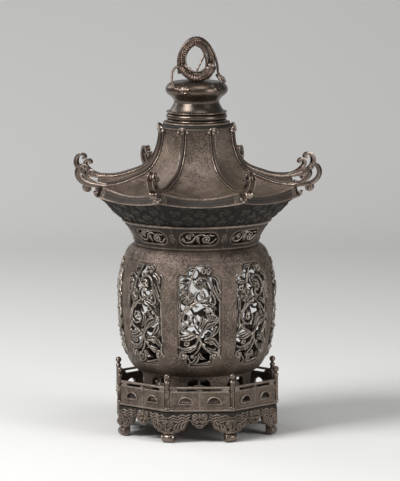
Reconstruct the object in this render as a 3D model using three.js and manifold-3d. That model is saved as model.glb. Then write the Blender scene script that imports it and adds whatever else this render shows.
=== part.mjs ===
// Pagoda-shaped incense burner in patinated bronze, built as three lift-apart sections:
// an eight-sided stand with a balustrade, a pierced vessel with a loose ash pan inside,
// and a concave roof with a dragon-loop handle.
// Millimetres, +Z up, the origin on the ground under the middle, one face toward -Y.
import * as THREE from 'three';
import { mergeVertices } from 'three/addons/utils/BufferGeometryUtils.js';
import { TessellateModifier } from 'three/addons/modifiers/TessellateModifier.js';
import Module from 'manifold-3d';

const wasm = await Module();
wasm.setup();

// General
const SIDES = 8;
const FIT = 0.3; // gap between pieces that seat on each other
const TURN = (2 * Math.PI) / SIDES;
const OCT = Math.cos(TURN / 2); // apothem of an octagon whose corner radius is 1
const CUT_MARGIN = 9; // how far a cutting shape runs past what it cuts

// Stand: deck, apron and feet
const GROUND_CLEARANCE = 12; // from the ground to the big lappets
const APRON_HEIGHT = 24.2;
const APRON_CORNER = 102; // corner radius of the apron's outside
const APRON_WALL = 3.5;
const BIG_LAPPET = 24.5; // half width, measured along a face from its corner
const SMALL_LAPPET = 9; // half width of the lappet in the middle of a face
const SMALL_LAPPET_RISE = 5.5; // its lower edge, above that of the big lappets
const NOTCH_HEIGHT = 12.5; // depth of the notch between two lappets
const DECK_CORNER = 103.5;
const DECK_THICKNESS = 4;
const DECK_STEP = 3; // how far the deck's lower moulding is set in
const SEAT_LIP_HEIGHT = 3;
const SEAT_LIP_WIDTH = 3;
const FOOT_WIDTH = 14.8;
const FOOT_LEG = 5;
const FOOT_ROLL = 5.2; // radius of the rolled toe

// Balustrade
const POST_CORNER = 101; // radius on which the posts stand
const POST_RADIUS = 2.8;
const POST_HEIGHT = 34.5; // up to the collar under the ball
const BALL_RADIUS = 3.6;
const PANEL_HEIGHT = 20.2;
const PANEL_THICKNESS = 3;
const HAND_RAIL_RADIUS = 1.8;
const HAND_RAIL_HEIGHT = 25.5; // centre, above the deck
const ARCH_OFFSET = 17; // from the middle of a panel to the middle of each opening
const ARCH_HALF_WIDTH = 7.8;
const ARCH_HEIGHT = 7;
const ARCH_SILL = 6.8; // above the deck
const ARCH_RIM = 1.4;
const ARCH_PROUD = 3;

// Vessel
const VESSEL_FOOT_HEIGHT = 33.5;
const VESSEL_FOOT_RADIUS = 64; // at the deck
const VESSEL_FOOT_WALL = 3;
const FOOT_ARCH_HALF_WIDTH = 14.5;
const FOOT_ARCH_HEIGHT = 22.5;
const FOOT_ARCH_SILL = 8;
const BASE_RADIUS = 66; // barrel, at its bottom
const BELLY_RADIUS = 93.7;
const BELLY_HEIGHT = 91; // above the barrel's bottom
const WAIST_RADIUS = 74;
const BARREL_HEIGHT = 152;
const BARREL_LOWER_POWER = 2.2; // superellipse powers of the barrel's outline
const BARREL_UPPER_POWER = 2;
const BARREL_WALL = 2.8;
const BARREL_FLOOR = 3;
const WINDOW_HALF_WIDTH = 26;
const WINDOW_FOOT = 16; // from the barrel's bottom up to the window
const WINDOW_HEAD = 15; // from the window up to the barrel's top
const WINDOW_HALF_HEIGHT = (BARREL_HEIGHT - WINDOW_FOOT - WINDOW_HEAD) / 2;
const WINDOW_CENTRE = WINDOW_FOOT + WINDOW_HALF_HEIGHT; // above the barrel's bottom
const WINDOW_LOBE = 15; // half width of the narrow lobe at each end
const WINDOW_SHOULDER = 11; // length of that lobe
const WINDOW_CORNER = 5;
const GRILLE_FRAME = 2.2;
const GRILLE_THICKNESS = 3.4;
const GRILLE_PROUD = 1.6;
const GRILLE_FACET = 44; // longest edge that follows the barrel's curve
const VINE_HALF_WIDTH = 1.5;
const NECK_HEIGHT = 31.1;
const NECK_WALL = 2.8;
const RIM_RADIUS = BELLY_RADIUS - 3.7; // the rim reaches nearly as far as the belly
const RIM_BEAD = 1.7;
const CARTOUCHE_HALF_WIDTH = 22;
const CARTOUCHE_HALF_HEIGHT = 7.5;
const CARTOUCHE_CENTRE = 15; // above the waist
const SCROLL_THICKNESS = 2.2;

// Ash pan
const PAN_RADIUS = 56;
const PAN_FOOT_RADIUS = 46;
const PAN_HEIGHT = 25;
const PAN_WALL = 2.2;

// Roof
const EAVE_CORNER = 131;
const EAVE_RISE = 26.1; // eave edge, above the neck's rim, at the middle of a face
const EAVE_CORNER_LIFT = 5;
const BAND_HEIGHT = 9.7;
const BAND_WIDTH = 9; // how far the crease over the border band is set in from the edge
const BAND_CORNER_SHIFT = 5.5; // the crease runs out toward the corners
const BAND_CORNER_RISE = 9; // the hips turn up, so the crease rises toward the corners
const ROOF_TOP_CORNER = 45.5;
const CORNER_RISE_REACH = 44; // the corners' rise grows over this much of the slope
const ROOF_SWEEP = 73; // from the crease up to the roof's top
const ROOF_WALL = 2.6;
const COLLAR_TOP_RADIUS = 39.3;
const COLLAR_HEIGHT = 6.6;
const LOCATING_DEPTH = 7;
const SOFFIT_WALL = 2.6;
const RIDGE_WIDTH = 4.6;
const RIDGE_HEIGHT = 3.6;
const SCROLL_WIDTH = 8.6;
const CURL_REACH = 27.2; // of the upturned scroll, beyond the eave's corner
const CURL_HEIGHT = 24; // of its top, above the band's corner

// Finial
const FINIAL_TORUS_RADIUS = 36.6;
const FINIAL_BASE_HEIGHT = 22.6;
const FINIAL_WAIST = 27;
const FINIAL_WALL = 3;
const KNOB_RADIUS = 37.3;
const KNOB_HEIGHT = 25.3;
const TENON_RADIUS = 6;
const LOOP_HALF_WIDTH = 18;
const LOOP_HEIGHT = 43.4; // of the loop's centre line
const LOOP_TUBE = 5.2;
const COIL_RADIUS = 19;
const COIL_TUBE = 4.4;
const COIL_DEPTH = 1.13;
const COIL_RISE = 11;

// Levels that follow from the sizes above
const DECK_BOTTOM = GROUND_CLEARANCE + APRON_HEIGHT + FIT;
const DECK_TOP = DECK_BOTTOM + DECK_THICKNESS;
const BARREL_BOTTOM = DECK_TOP + VESSEL_FOOT_HEIGHT + 2 * FIT;
const BARREL_TOP = BARREL_BOTTOM + BARREL_HEIGHT;
const NECK_BOTTOM = BARREL_TOP + FIT;
const RIM_TOP = NECK_BOTTOM + NECK_HEIGHT;
const EAVE_BOTTOM = RIM_TOP + EAVE_RISE;
const CREASE = EAVE_BOTTOM + BAND_HEIGHT;
const ROOF_TOP = CREASE + ROOF_SWEEP;
const COLLAR_BOTTOM = ROOF_TOP + FIT;
const FINIAL_BOTTOM = COLLAR_BOTTOM + COLLAR_HEIGHT + FIT;
const KNOB_BOTTOM = FINIAL_BOTTOM + FINIAL_BASE_HEIGHT + FIT;
const LOOP_BOTTOM = KNOB_BOTTOM + KNOB_HEIGHT + FIT;

// Finishes, one for each kind of surface
const finish = (color, roughness) => new THREE.MeshStandardMaterial({ color, roughness, metalness: 1 });
const BRONZE = finish(0x4a4038, 0.45);
const DARK_BRONZE = finish(0x2c2622, 0.5);
const WORN_BRONZE = finish(0x6a5547, 0.35);
const PAN_BRONZE = finish(0x3a332c, 0.6);

const burner = new THREE.Group();

function addPiece(name, geometry, material) {
  const mesh = new THREE.Mesh(geometry, material);
  mesh.name = name;
  burner.add(mesh);
}

function addAround(name, geometry, material, phase = 0) {
  for (let k = 0; k < SIDES; k += 1) {
    const mesh = new THREE.Mesh(geometry, material);
    mesh.name = `${name}_${k + 1}`;
    mesh.rotation.z = phase + k * TURN;
    burner.add(mesh);
  }
}

// Closed meshes: shared vertices merged, collapsed triangles dropped, faces outward
function closed(geometry) {
  const bare = new THREE.BufferGeometry();
  bare.setAttribute('position', geometry.getAttribute('position').clone());
  if (geometry.index) bare.setIndex(geometry.index.clone());
  const merged = mergeVertices(bare, 1e-4);
  const position = merged.getAttribute('position');
  const [a, b, c] = [new THREE.Vector3(), new THREE.Vector3(), new THREE.Vector3()];
  const kept = [];
  let volume = 0;
  for (let i = 0; i < merged.index.count; i += 3) {
    const corners = [0, 1, 2].map((j) => merged.index.getX(i + j));
    if (new Set(corners).size < 3) continue;
    [a, b, c].forEach((point, j) => point.fromBufferAttribute(position, corners[j]));
    volume += a.dot(b.cross(c));
    kept.push(...corners);
  }
  if (volume < 0) kept.reverse();
  merged.setIndex(kept);
  return merged;
}

function toSolid(geometry) {
  const mesh = closed(geometry);
  return new wasm.Manifold(new wasm.Mesh({
    numProp: 3,
    vertProperties: new Float32Array(mesh.getAttribute('position').array),
    triVerts: new Uint32Array(mesh.index.array),
  }));
}

function fromSolid(solid) {
  const mesh = solid.getMesh();
  const geometry = new THREE.BufferGeometry();
  geometry.setAttribute('position', new THREE.BufferAttribute(mesh.vertProperties, 3));
  geometry.setIndex(new THREE.BufferAttribute(mesh.triVerts, 1));
  return geometry;
}

const joined = (...geometries) => fromSolid(geometries.map(toSolid).reduce((all, one) => all.add(one)));

function cutBy(geometry, tools) {
  return fromSolid(tools.map(toSolid).reduce((left, tool) => left.subtract(tool), toSolid(geometry)));
}

const aroundAxis = (geometry) => Array.from({ length: SIDES }, (_, k) => geometry.clone().rotateZ(k * TURN));

// A closed profile of [radius, height] points turned about the Z axis
function turned(profile, segments) {
  const points = profile.map(([radius, height]) => new THREE.Vector2(radius, height));
  const onAxis = profile[0][0] === 0 && profile.at(-1)[0] === 0;
  if (!onAxis) points.push(points[0].clone());
  const phase = segments % SIDES === 0 ? TURN / 2 : 0;
  return closed(new THREE.LatheGeometry(points, segments, phase).rotateX(Math.PI / 2));
}

// The same, standing at a place of its own
const turnedAt = (profile, segments, x, y) => turned(profile, segments).translate(x, y, 0);

// Moves a turned surface from round to eight-sided, with an extra shift toward the corners.
// eightSided(r, z) gives {flat, out, up}: how far the ring is an octagon, and the corner's shift.
function octagonal(geometry, eightSided) {
  const position = geometry.getAttribute('position');
  for (let i = 0; i < position.count; i += 1) {
    const [x, y, z] = [position.getX(i), position.getY(i), position.getZ(i)];
    const radius = Math.hypot(x, y);
    if (radius < 1e-6) continue;
    const angle = Math.atan2(y, x);
    const fromFace = angle - Math.round(angle / TURN) * TURN;
    const across = Math.tan(fromFace) / Math.tan(TURN / 2);
    const { flat, out, up } = eightSided(radius, z);
    const corner = radius + out * across ** 2;
    const reach = corner * (1 - flat + (flat * OCT) / Math.cos(fromFace));
    position.setXYZ(i, Math.cos(angle) * reach, Math.sin(angle) * reach, z + up * across ** 2);
  }
  return geometry;
}

// A flat outline stood up to face -Y, between two distances from the axis
function upright(shape, near, far, curveSegments = 4) {
  const options = { depth: far - near, bevelEnabled: false, curveSegments };
  return new THREE.ExtrudeGeometry(shape, options).rotateX(Math.PI / 2).translate(0, -near, 0);
}

// A flat outline in a radial plane (x outward, y up), given a width across that plane
function radialSlab(shape, width, curveSegments = 4) {
  const options = { depth: width, bevelEnabled: false, curveSegments };
  return new THREE.ExtrudeGeometry(shape, options).translate(0, 0, -width / 2).rotateX(Math.PI / 2);
}

// An eighth to a full turn of points on an arc
function arc(x, y, radius, from, to, steps) {
  return Array.from({ length: steps + 1 }, (_, i) => {
    const angle = from + ((to - from) * i) / steps;
    return new THREE.Vector2(x + radius * Math.cos(angle), y + radius * Math.sin(angle));
  });
}

const disc = (x, y, radius, steps) => new THREE.Shape(arc(x, y, radius, 0, 2 * Math.PI, steps).slice(1));

// A ribbon along a curve through the given points, with a half width for each end
function ribbon(points, halfStart, halfEnd, steps) {
  const curve = new THREE.SplineCurve(points.map(([x, y]) => new THREE.Vector2(x, y)));
  const left = [];
  const right = [];
  for (let i = 0; i <= steps; i += 1) {
    const at = curve.getPointAt(i / steps);
    const along = curve.getTangentAt(i / steps);
    const half = THREE.MathUtils.lerp(halfStart, halfEnd, i / steps);
    left.push(new THREE.Vector2(at.x - along.y * half, at.y + along.x * half));
    right.unshift(new THREE.Vector2(at.x + along.y * half, at.y - along.x * half));
  }
  return new THREE.Shape([...left, ...right]);
}

// Quarter of a superellipse from (0, 1) to (1, 0)
function superQuarter(power, steps) {
  return Array.from({ length: steps + 1 }, (_, i) => {
    const angle = (i / steps) * (Math.PI / 2);
    return [Math.sin(angle) ** (2 / power), Math.cos(angle) ** (2 / power)];
  });
}

// Points of a profile moved sideways by a wall, toward the left of its direction
function offset(profile, wall) {
  return profile.map(([r, z], i) => {
    const [r0, z0] = profile[Math.max(i - 1, 0)];
    const [r1, z1] = profile[Math.min(i + 1, profile.length - 1)];
    const length = Math.hypot(r1 - r0, z1 - z0);
    return [r - ((z1 - z0) / length) * wall, z + ((r1 - r0) / length) * wall];
  });
}

// Stand

function deck() {
  const lipOuter = VESSEL_FOOT_RADIUS - VESSEL_FOOT_WALL - FIT;
  return turned([
    [0, DECK_BOTTOM],
    [DECK_CORNER - DECK_STEP, DECK_BOTTOM],
    [DECK_CORNER, DECK_BOTTOM + DECK_THICKNESS / 3],
    [DECK_CORNER, DECK_TOP],
    [lipOuter, DECK_TOP],
    [lipOuter, DECK_TOP + SEAT_LIP_HEIGHT],
    [lipOuter - SEAT_LIP_WIDTH, DECK_TOP + SEAT_LIP_HEIGHT],
    [lipOuter - SEAT_LIP_WIDTH, DECK_TOP],
    [0, DECK_TOP],
  ], SIDES);
}

// Half of a face's lower edge, from its middle to its corner
function lappetEdge() {
  const half = APRON_CORNER * Math.sin(TURN / 2);
  const low = GROUND_CLEARANCE;
  const small = low + SMALL_LAPPET_RISE;
  const notch = low + NOTCH_HEIGHT;
  const inner = half - BIG_LAPPET;
  return [
    [0, small],
    [SMALL_LAPPET * 0.5, small + 1],
    [SMALL_LAPPET * 0.62, small + 3],
    [SMALL_LAPPET, small + 5],
    [SMALL_LAPPET, notch - 1],
    [(SMALL_LAPPET + inner) / 2, notch + 2],
    [inner, notch],
    [inner + 1.5, notch - 5],
    [inner + BIG_LAPPET * 0.2, low + 3.8],
    [inner + BIG_LAPPET * 0.34, low + 3],
    [inner + BIG_LAPPET * 0.44, low + 0.8],
    [inner + BIG_LAPPET * 0.66, low],
    [half, low],
  ];
}

function apron() {
  const top = GROUND_CLEARANCE + APRON_HEIGHT;
  const edge = lappetEdge();
  const half = edge.at(-1)[0];
  const right = edge.map(([x, z]) => new THREE.Vector2(x, z));
  const left = edge.slice(1).reverse().map(([x, z]) => new THREE.Vector2(-x, z));
  const corners = [new THREE.Vector2(half, top), new THREE.Vector2(-half, top)];
  const outside = APRON_CORNER * OCT;
  const face = upright(new THREE.Shape([...left, ...right, ...corners]), outside - APRON_WALL, outside);
  return joined(...aroundAxis(face));
}

// Leg behind the corner lappet, with a toe rolled outward under it
function foot() {
  const back = (APRON_CORNER - APRON_WALL / OCT) - (FOOT_WIDTH / 2) * Math.tan(TURN / 2) - FIT;
  const legTop = DECK_BOTTOM - FIT;
  const leg = new THREE.Shape([
    new THREE.Vector2(back - FOOT_LEG, 0),
    new THREE.Vector2(back, 0),
    new THREE.Vector2(back, legTop),
    new THREE.Vector2(back - FOOT_LEG, legTop),
  ]);
  const toe = disc(back + 1, FOOT_ROLL, FOOT_ROLL, 10);
  return joined(radialSlab(leg, FOOT_WIDTH * 0.8), radialSlab(toe, FOOT_WIDTH));
}

function railPost() {
  const base = DECK_TOP + FIT;
  const collar = base + POST_HEIGHT;
  const ballCentre = collar + BALL_RADIUS + 0.6;
  const ball = arc(0, ballCentre, BALL_RADIUS, -Math.PI / 3, Math.PI / 2, 4).map(({ x, y }) => [x, y]);
  ball[ball.length - 1][0] = 0;
  return turnedAt([
    [0, base],
    [POST_RADIUS, base],
    [POST_RADIUS, collar - 3],
    [POST_RADIUS + 0.6, collar - 1.6],
    ...ball,
  ], 8, POST_CORNER, 0);
}

// Half-round outline with a flat sill, centred on x
function archShape(x, sill, halfWidth, height) {
  const round = arc(0, 0, 1, 0, Math.PI, 4);
  return new THREE.Shape(round.map((p) => new THREE.Vector2(x + p.x * halfWidth, sill + p.y * height)));
}

function railPanel() {
  const middle = POST_CORNER * OCT;
  const half = POST_CORNER * Math.sin(TURN / 2) - POST_RADIUS - FIT;
  const front = middle + PANEL_THICKNESS / 2;
  const base = DECK_TOP + FIT;
  const top = DECK_TOP + PANEL_HEIGHT;
  const railHeight = DECK_TOP + HAND_RAIL_HEIGHT;
  const panel = new THREE.Shape([
    new THREE.Vector2(-half, base),
    new THREE.Vector2(half, base),
    new THREE.Vector2(half, top),
    new THREE.Vector2(-half, top),
  ]);
  const parts = [];
  const openings = [];
  for (const side of [-1, 1]) {
    const x = side * ARCH_OFFSET;
    const sill = DECK_TOP + ARCH_SILL;
    const rim = archShape(x, sill - ARCH_RIM, ARCH_HALF_WIDTH + ARCH_RIM, ARCH_HEIGHT + 2 * ARCH_RIM);
    parts.push(upright(rim, middle, front + ARCH_PROUD));
    const hole = archShape(x, sill, ARCH_HALF_WIDTH, ARCH_HEIGHT);
    openings.push(upright(hole, middle - CUT_MARGIN, front + CUT_MARGIN));
  }
  const bar = (height, radius, sides, length) => (
    radialSlab(disc(middle, height, radius, sides), length).rotateZ(-Math.PI / 2)
  );
  const handRail = bar(railHeight, HAND_RAIL_RADIUS, 6, 2 * half);
  const strip = bar(top, PANEL_THICKNESS / 2 + 0.7, 4, 2 * half - 2);
  const budHalf = (railHeight - top) / 2 + 0.4;
  const bud = new THREE.SphereGeometry(budHalf, 5, 3).translate(0, -middle, (railHeight + top) / 2);
  const ends = [-1, 1].map((side) => {
    const x = side * (half - 2.5);
    return new THREE.BoxGeometry(5, 2.2, railHeight - top).translate(x, -middle, (railHeight + top) / 2);
  });
  const board = upright(panel, middle - PANEL_THICKNESS / 2, front);
  return cutBy(joined(board, ...parts, handRail, strip, bud, ...ends), openings);
}

// Vessel

function vesselFoot() {
  const bottom = DECK_TOP + FIT;
  const top = BARREL_BOTTOM - FIT;
  const topRadius = BASE_RADIUS - 0.5;
  const ring = turned([
    [VESSEL_FOOT_RADIUS - VESSEL_FOOT_WALL, bottom],
    [VESSEL_FOOT_RADIUS, bottom],
    [topRadius, top],
    [topRadius - VESSEL_FOOT_WALL, top],
  ], 24);
  const sill = DECK_TOP + FOOT_ARCH_SILL;
  const w = FOOT_ARCH_HALF_WIDTH;
  const h = FOOT_ARCH_HEIGHT;
  const half = [[0.94, 0], [1, 0.5], [0.86, 0.86], [0.5, 0.98]];
  const right = half.map(([x, y]) => new THREE.Vector2(x * w, sill + y * h));
  const left = half.toReversed().map(([x, y]) => new THREE.Vector2(-x * w, sill + y * h));
  const arch = new THREE.Shape([...right, new THREE.Vector2(0, sill + h), ...left]);
  return cutBy(ring, aroundAxis(upright(arch, BASE_RADIUS / 2, BASE_RADIUS + CUT_MARGIN)));
}

// Outer radius of the barrel at a height above the ground
function barrelRadius(height) {
  const above = height - BARREL_BOTTOM - BELLY_HEIGHT;
  const [end, reach, power] = above < 0
    ? [BASE_RADIUS, BELLY_HEIGHT, BARREL_LOWER_POWER]
    : [WAIST_RADIUS, BARREL_HEIGHT - BELLY_HEIGHT, BARREL_UPPER_POWER];
  const part = Math.min(Math.abs(above) / reach, 1);
  return end + (BELLY_RADIUS - end) * (1 - part ** power) ** (1 / power);
}

function barrelOutline() {
  const belly = BARREL_BOTTOM + BELLY_HEIGHT;
  const lower = superQuarter(BARREL_LOWER_POWER, 4).reverse().map(([t]) => belly - t * BELLY_HEIGHT);
  const above = BARREL_HEIGHT - BELLY_HEIGHT;
  const upper = superQuarter(BARREL_UPPER_POWER, 3).slice(1).map(([t]) => belly + t * above);
  return [...lower, ...upper].map((z) => [barrelRadius(z), z]);
}

// Bracket-shaped outline, inset by a margin: straight sides, and a narrow lobe at each end
function windowShape(inset) {
  const side = WINDOW_HALF_WIDTH - inset;
  const end = WINDOW_HALF_HEIGHT - inset;
  const lobe = WINDOW_LOBE - inset;
  const shoulder = WINDOW_HALF_HEIGHT - WINDOW_SHOULDER - inset;
  const round = Math.max(WINDOW_CORNER - inset, 1);
  const quarter = [
    ...arc(side - round, shoulder - round, round, 0, Math.PI / 2, 1),
    new THREE.Vector2(lobe, shoulder),
    ...arc(lobe - round, end - round, round, 0, Math.PI / 2, 1),
  ];
  const flip = (points, sx, sy) => points.map((p) => new THREE.Vector2(p.x * sx, p.y * sy));
  return new THREE.Shape([
    ...quarter,
    ...flip(quarter, -1, 1).reverse(),
    ...flip(quarter, -1, -1),
    ...flip(quarter, 1, -1).reverse(),
  ].map((p) => new THREE.Vector2(p.x, p.y + BARREL_BOTTOM + WINDOW_CENTRE)));
}

function vesselShell() {
  const outline = barrelOutline();
  const inside = offset(outline, BARREL_WALL).reverse();
  const floor = BARREL_BOTTOM + BARREL_FLOOR;
  const wallInside = inside.filter(([, z]) => z > floor + 1);
  wallInside[0][1] = BARREL_TOP;
  const barrel = turned([
    [0, BARREL_BOTTOM],
    ...outline,
    ...wallInside,
    [wallInside.at(-1)[0] - 3, floor],
    [0, floor],
  ], 32);
  const opening = upright(windowShape(0), BASE_RADIUS, BELLY_RADIUS + CUT_MARGIN);
  return cutBy(barrel, aroundAxis(opening));
}

// Openwork of one window, drawn flat: a wavy stem with curled tendrils on one side
// and leaves on the other, inside a narrow frame, then laid over the barrel's curve
function windowGrille() {
  const centre = BARREL_BOTTOM + WINDOW_CENTRE;
  const inner = WINDOW_HALF_WIDTH - FIT - GRILLE_FRAME;
  const reach = WINDOW_HALF_HEIGHT - FIT - GRILLE_FRAME;
  const levels = 3;
  const turns = 7;
  const pitch = (2 * (WINDOW_HALF_HEIGHT - WINDOW_SHOULDER)) / levels;
  const curl = inner / 2 - VINE_HALF_WIDTH / 2;
  const slab = (shape) => upright(shape, 0, GRILLE_THICKNESS, 2);
  const frame = windowShape(FIT);
  frame.holes.push(windowShape(FIT + GRILLE_FRAME));
  const strokes = [slab(frame)];
  const stem = [[0, centre - reach - 1]];
  for (let k = 0; k < levels; k += 1) {
    const side = k % 2 === 0 ? -1 : 1;
    const height = centre + (k - (levels - 1) / 2) * pitch;
    stem.push([side * 1.2, height]);
    const tendril = [];
    for (let i = 0; i <= turns; i += 1) {
      const angle = -0.9 + i * 0.87;
      const radius = curl - (i / turns) * (curl - 3);
      tendril.push([side * (curl + 1.2 - radius * Math.cos(angle)), height + radius * Math.sin(angle)]);
    }
    strokes.push(slab(ribbon(tendril, VINE_HALF_WIDTH, 1, 6)));
    const tip = [-side * (inner + 0.8), height + pitch * 0.3];
    const root = [0, height - pitch * 0.22];
    strokes.push(slab(new THREE.Shape([
      new THREE.Vector2(root[0], root[1]),
      new THREE.Vector2(-side * inner * 0.6, height - pitch * 0.18),
      new THREE.Vector2(tip[0], tip[1]),
      new THREE.Vector2(-side * inner * 0.4, height + pitch * 0.12),
    ])));
  }
  stem.push([0, centre + reach + 1]);
  strokes.push(slab(ribbon(stem, VINE_HALF_WIDTH, VINE_HALF_WIDTH, 4)));
  const flat = joined(...strokes).toNonIndexed();
  const fine = new TessellateModifier(GRILLE_FACET, 4).modify(flat);
  const position = fine.getAttribute('position');
  for (let i = 0; i < position.count; i += 1) {
    const [x, depth, z] = [position.getX(i), -position.getY(i), position.getZ(i)];
    const radius = barrelRadius(z) + GRILLE_PROUD - GRILLE_THICKNESS + depth;
    position.setY(i, -Math.sqrt(radius ** 2 - x ** 2));
  }
  return closed(fine);
}

// Outer radius of the flared neck, by its height above the waist
const neckRadius = (rise) => WAIST_RADIUS + (RIM_RADIUS - WAIST_RADIUS) * (rise / NECK_HEIGHT) ** 1.35;

function vesselNeck() {
  const steps = 3;
  const outline = Array.from({ length: steps + 1 }, (_, i) => {
    const rise = ((NECK_HEIGHT - 2 * RIM_BEAD) * i) / steps;
    return [neckRadius(rise), NECK_BOTTOM + rise];
  });
  const inside = offset(outline, NECK_WALL).reverse();
  inside[inside.length - 1][1] = NECK_BOTTOM;
  const beadCentre = RIM_TOP - RIM_BEAD;
  const half = Math.PI / 2;
  const bead = arc(RIM_RADIUS - RIM_BEAD, beadCentre, RIM_BEAD, -half, half, 3).map(({ x, y }) => [x, y]);
  const neck = turned([...outline, ...bead, [inside[0][0] + 1, RIM_TOP], ...inside], 24);
  const opening = upright(cartoucheShape(0), WAIST_RADIUS - CUT_MARGIN, RIM_RADIUS + CUT_MARGIN);
  return cutBy(neck, aroundAxis(opening));
}

// Oblong with half-round ends
function cartoucheShape(inset) {
  const h = CARTOUCHE_HALF_HEIGHT - inset;
  const straight = CARTOUCHE_HALF_WIDTH - inset - h;
  const centre = NECK_BOTTOM + CARTOUCHE_CENTRE;
  const end = arc(straight, 0, h, -Math.PI / 2, Math.PI / 2, 4);
  return new THREE.Shape([
    ...end.map(({ x, y }) => new THREE.Vector2(x, centre + y)),
    ...end.map(({ x, y }) => new THREE.Vector2(-x, centre - y)),
  ]);
}

// S-shaped scroll that spans a cartouche from end to end, drawn flat and laid on the neck's flare
function cartoucheScroll() {
  const centre = NECK_BOTTOM + CARTOUCHE_CENTRE;
  const w = CARTOUCHE_HALF_WIDTH - FIT;
  const h = CARTOUCHE_HALF_HEIGHT - FIT;
  const wave = ribbon([
    [-w + 1.4, centre],
    [-w * 0.62, centre - h + 1.8],
    [-w * 0.16, centre],
    [w * 0.2, centre + h - 1.8],
    [w * 0.62, centre],
    [w - 1.4, centre],
  ], 1.3, 1.3, 5);
  const buds = [disc(-w * 0.3, centre + h * 0.42, 2.7, 6), disc(w * 0.32, centre - h * 0.4, 2.9, 6)];
  const stalks = [
    ribbon([[-w * 0.5, centre - h + 2.4], [-w * 0.42, centre], [-w * 0.3, centre + h * 0.4]], 0.9, 0.9, 1),
    ribbon([[w * 0.12, centre + h - 2.4], [w * 0.14, centre], [w * 0.3, centre - h * 0.4]], 0.9, 0.9, 1),
  ];
  const scroll = joined(...[wave, ...buds, ...stalks].map((shape) => upright(shape, 0, SCROLL_THICKNESS)));
  const position = scroll.getAttribute('position');
  for (let i = 0; i < position.count; i += 1) {
    const [x, depth, z] = [position.getX(i), -position.getY(i), position.getZ(i)];
    const radius = neckRadius(z - NECK_BOTTOM) - NECK_WALL + depth;
    position.setY(i, -Math.sqrt(radius ** 2 - x ** 2));
  }
  return scroll;
}

function ashPan() {
  const bottom = BARREL_BOTTOM + BARREL_FLOOR + FIT;
  const top = bottom + PAN_HEIGHT;
  return turned([
    [0, bottom],
    [PAN_FOOT_RADIUS, bottom],
    [PAN_FOOT_RADIUS + 3, bottom + 2],
    [PAN_RADIUS - 2, top - 3],
    [PAN_RADIUS, top - 1.5],
    [PAN_RADIUS, top],
    [PAN_RADIUS - PAN_WALL - 1, top],
    [PAN_FOOT_RADIUS + 1, bottom + PAN_WALL + 1],
    [PAN_FOOT_RADIUS - 2, bottom + PAN_WALL],
    [0, bottom + PAN_WALL],
  ], 24);
}

// Roof

// Corner radius and height of the roof's panels, from the top down to the crease
function roofSweep(steps) {
  const power = 2.2;
  const crease = EAVE_CORNER - BAND_WIDTH / OCT;
  return superQuarter(power, steps).reverse().map(([t, u]) => [
    crease - t * (crease - ROOF_TOP_CORNER),
    CREASE + (1 - u) * ROOF_SWEEP,
  ]);
}

// How far the crease and the eave's edge shift where they meet a corner
function eaveShift(radius) {
  const crease = EAVE_CORNER - BAND_WIDTH / OCT;
  const inBand = THREE.MathUtils.clamp((radius - crease) / (EAVE_CORNER - crease), 0, 1);
  const nearCrease = THREE.MathUtils.smoothstep(radius, crease - 14, crease - 1);
  const onSlope = THREE.MathUtils.smoothstep(radius, ROOF_TOP_CORNER, ROOF_TOP_CORNER + CORNER_RISE_REACH);
  return {
    out: BAND_CORNER_SHIFT * nearCrease * (1 - inBand),
    up: THREE.MathUtils.lerp(BAND_CORNER_RISE * onSlope, EAVE_CORNER_LIFT, inBand),
  };
}

function roofShell() {
  const panels = roofSweep(7);
  const outline = [...panels, [EAVE_CORNER, EAVE_BOTTOM]];
  const inside = offset(outline, -ROOF_WALL).reverse();
  inside[0] = [EAVE_CORNER - ROOF_WALL * 1.1, EAVE_BOTTOM];
  const last = inside.length - 1;
  inside[last] = [inside[last][0], ROOF_TOP - ROOF_WALL];
  const hole = TENON_RADIUS + FIT;
  const shell = turned([...outline, ...inside, [hole, ROOF_TOP - ROOF_WALL], [hole, ROOF_TOP]], 4 * SIDES);
  return octagonal(shell, (radius) => {
    const flat = THREE.MathUtils.clamp((radius - hole) / (ROOF_TOP_CORNER / 2), 0, 1);
    return { flat, ...eaveShift(radius) };
  });
}

// Under the eave: a collar that drops into the neck, a flat seat on the rim and a carved cone
function roofSoffit() {
  const seat = RIM_TOP + FIT;
  const collar = neckRadius(NECK_HEIGHT - LOCATING_DEPTH) - NECK_WALL - 1.2;
  const outer = EAVE_CORNER - ROOF_WALL * 1.1 - FIT / OCT;
  const root = [RIM_RADIUS + 5, seat + 3.5];
  const tip = [outer - 7, EAVE_BOTTOM - 4.5];
  const belly = [THREE.MathUtils.lerp(root[0], tip[0], 0.6), THREE.MathUtils.lerp(root[1], tip[1], 0.565)];
  const cone = [[RIM_RADIUS - 1, seat], root, belly, tip, [outer, EAVE_BOTTOM]];
  const back = offset(cone, SOFFIT_WALL).reverse();
  back[0] = [outer - SOFFIT_WALL, EAVE_BOTTOM];
  const collarRing = [
    [collar - SOFFIT_WALL, seat + SOFFIT_WALL],
    [collar - SOFFIT_WALL, RIM_TOP - LOCATING_DEPTH],
    [collar, RIM_TOP - LOCATING_DEPTH],
    [collar, seat],
  ];
  return octagonal(turned([...collarRing, ...cone, ...back], 4 * SIDES), (radius) => {
    const flat = THREE.MathUtils.smoothstep(radius, RIM_RADIUS + 2, outer - 6);
    return { flat, out: 0, up: EAVE_CORNER_LIFT * flat };
  });
}

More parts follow.
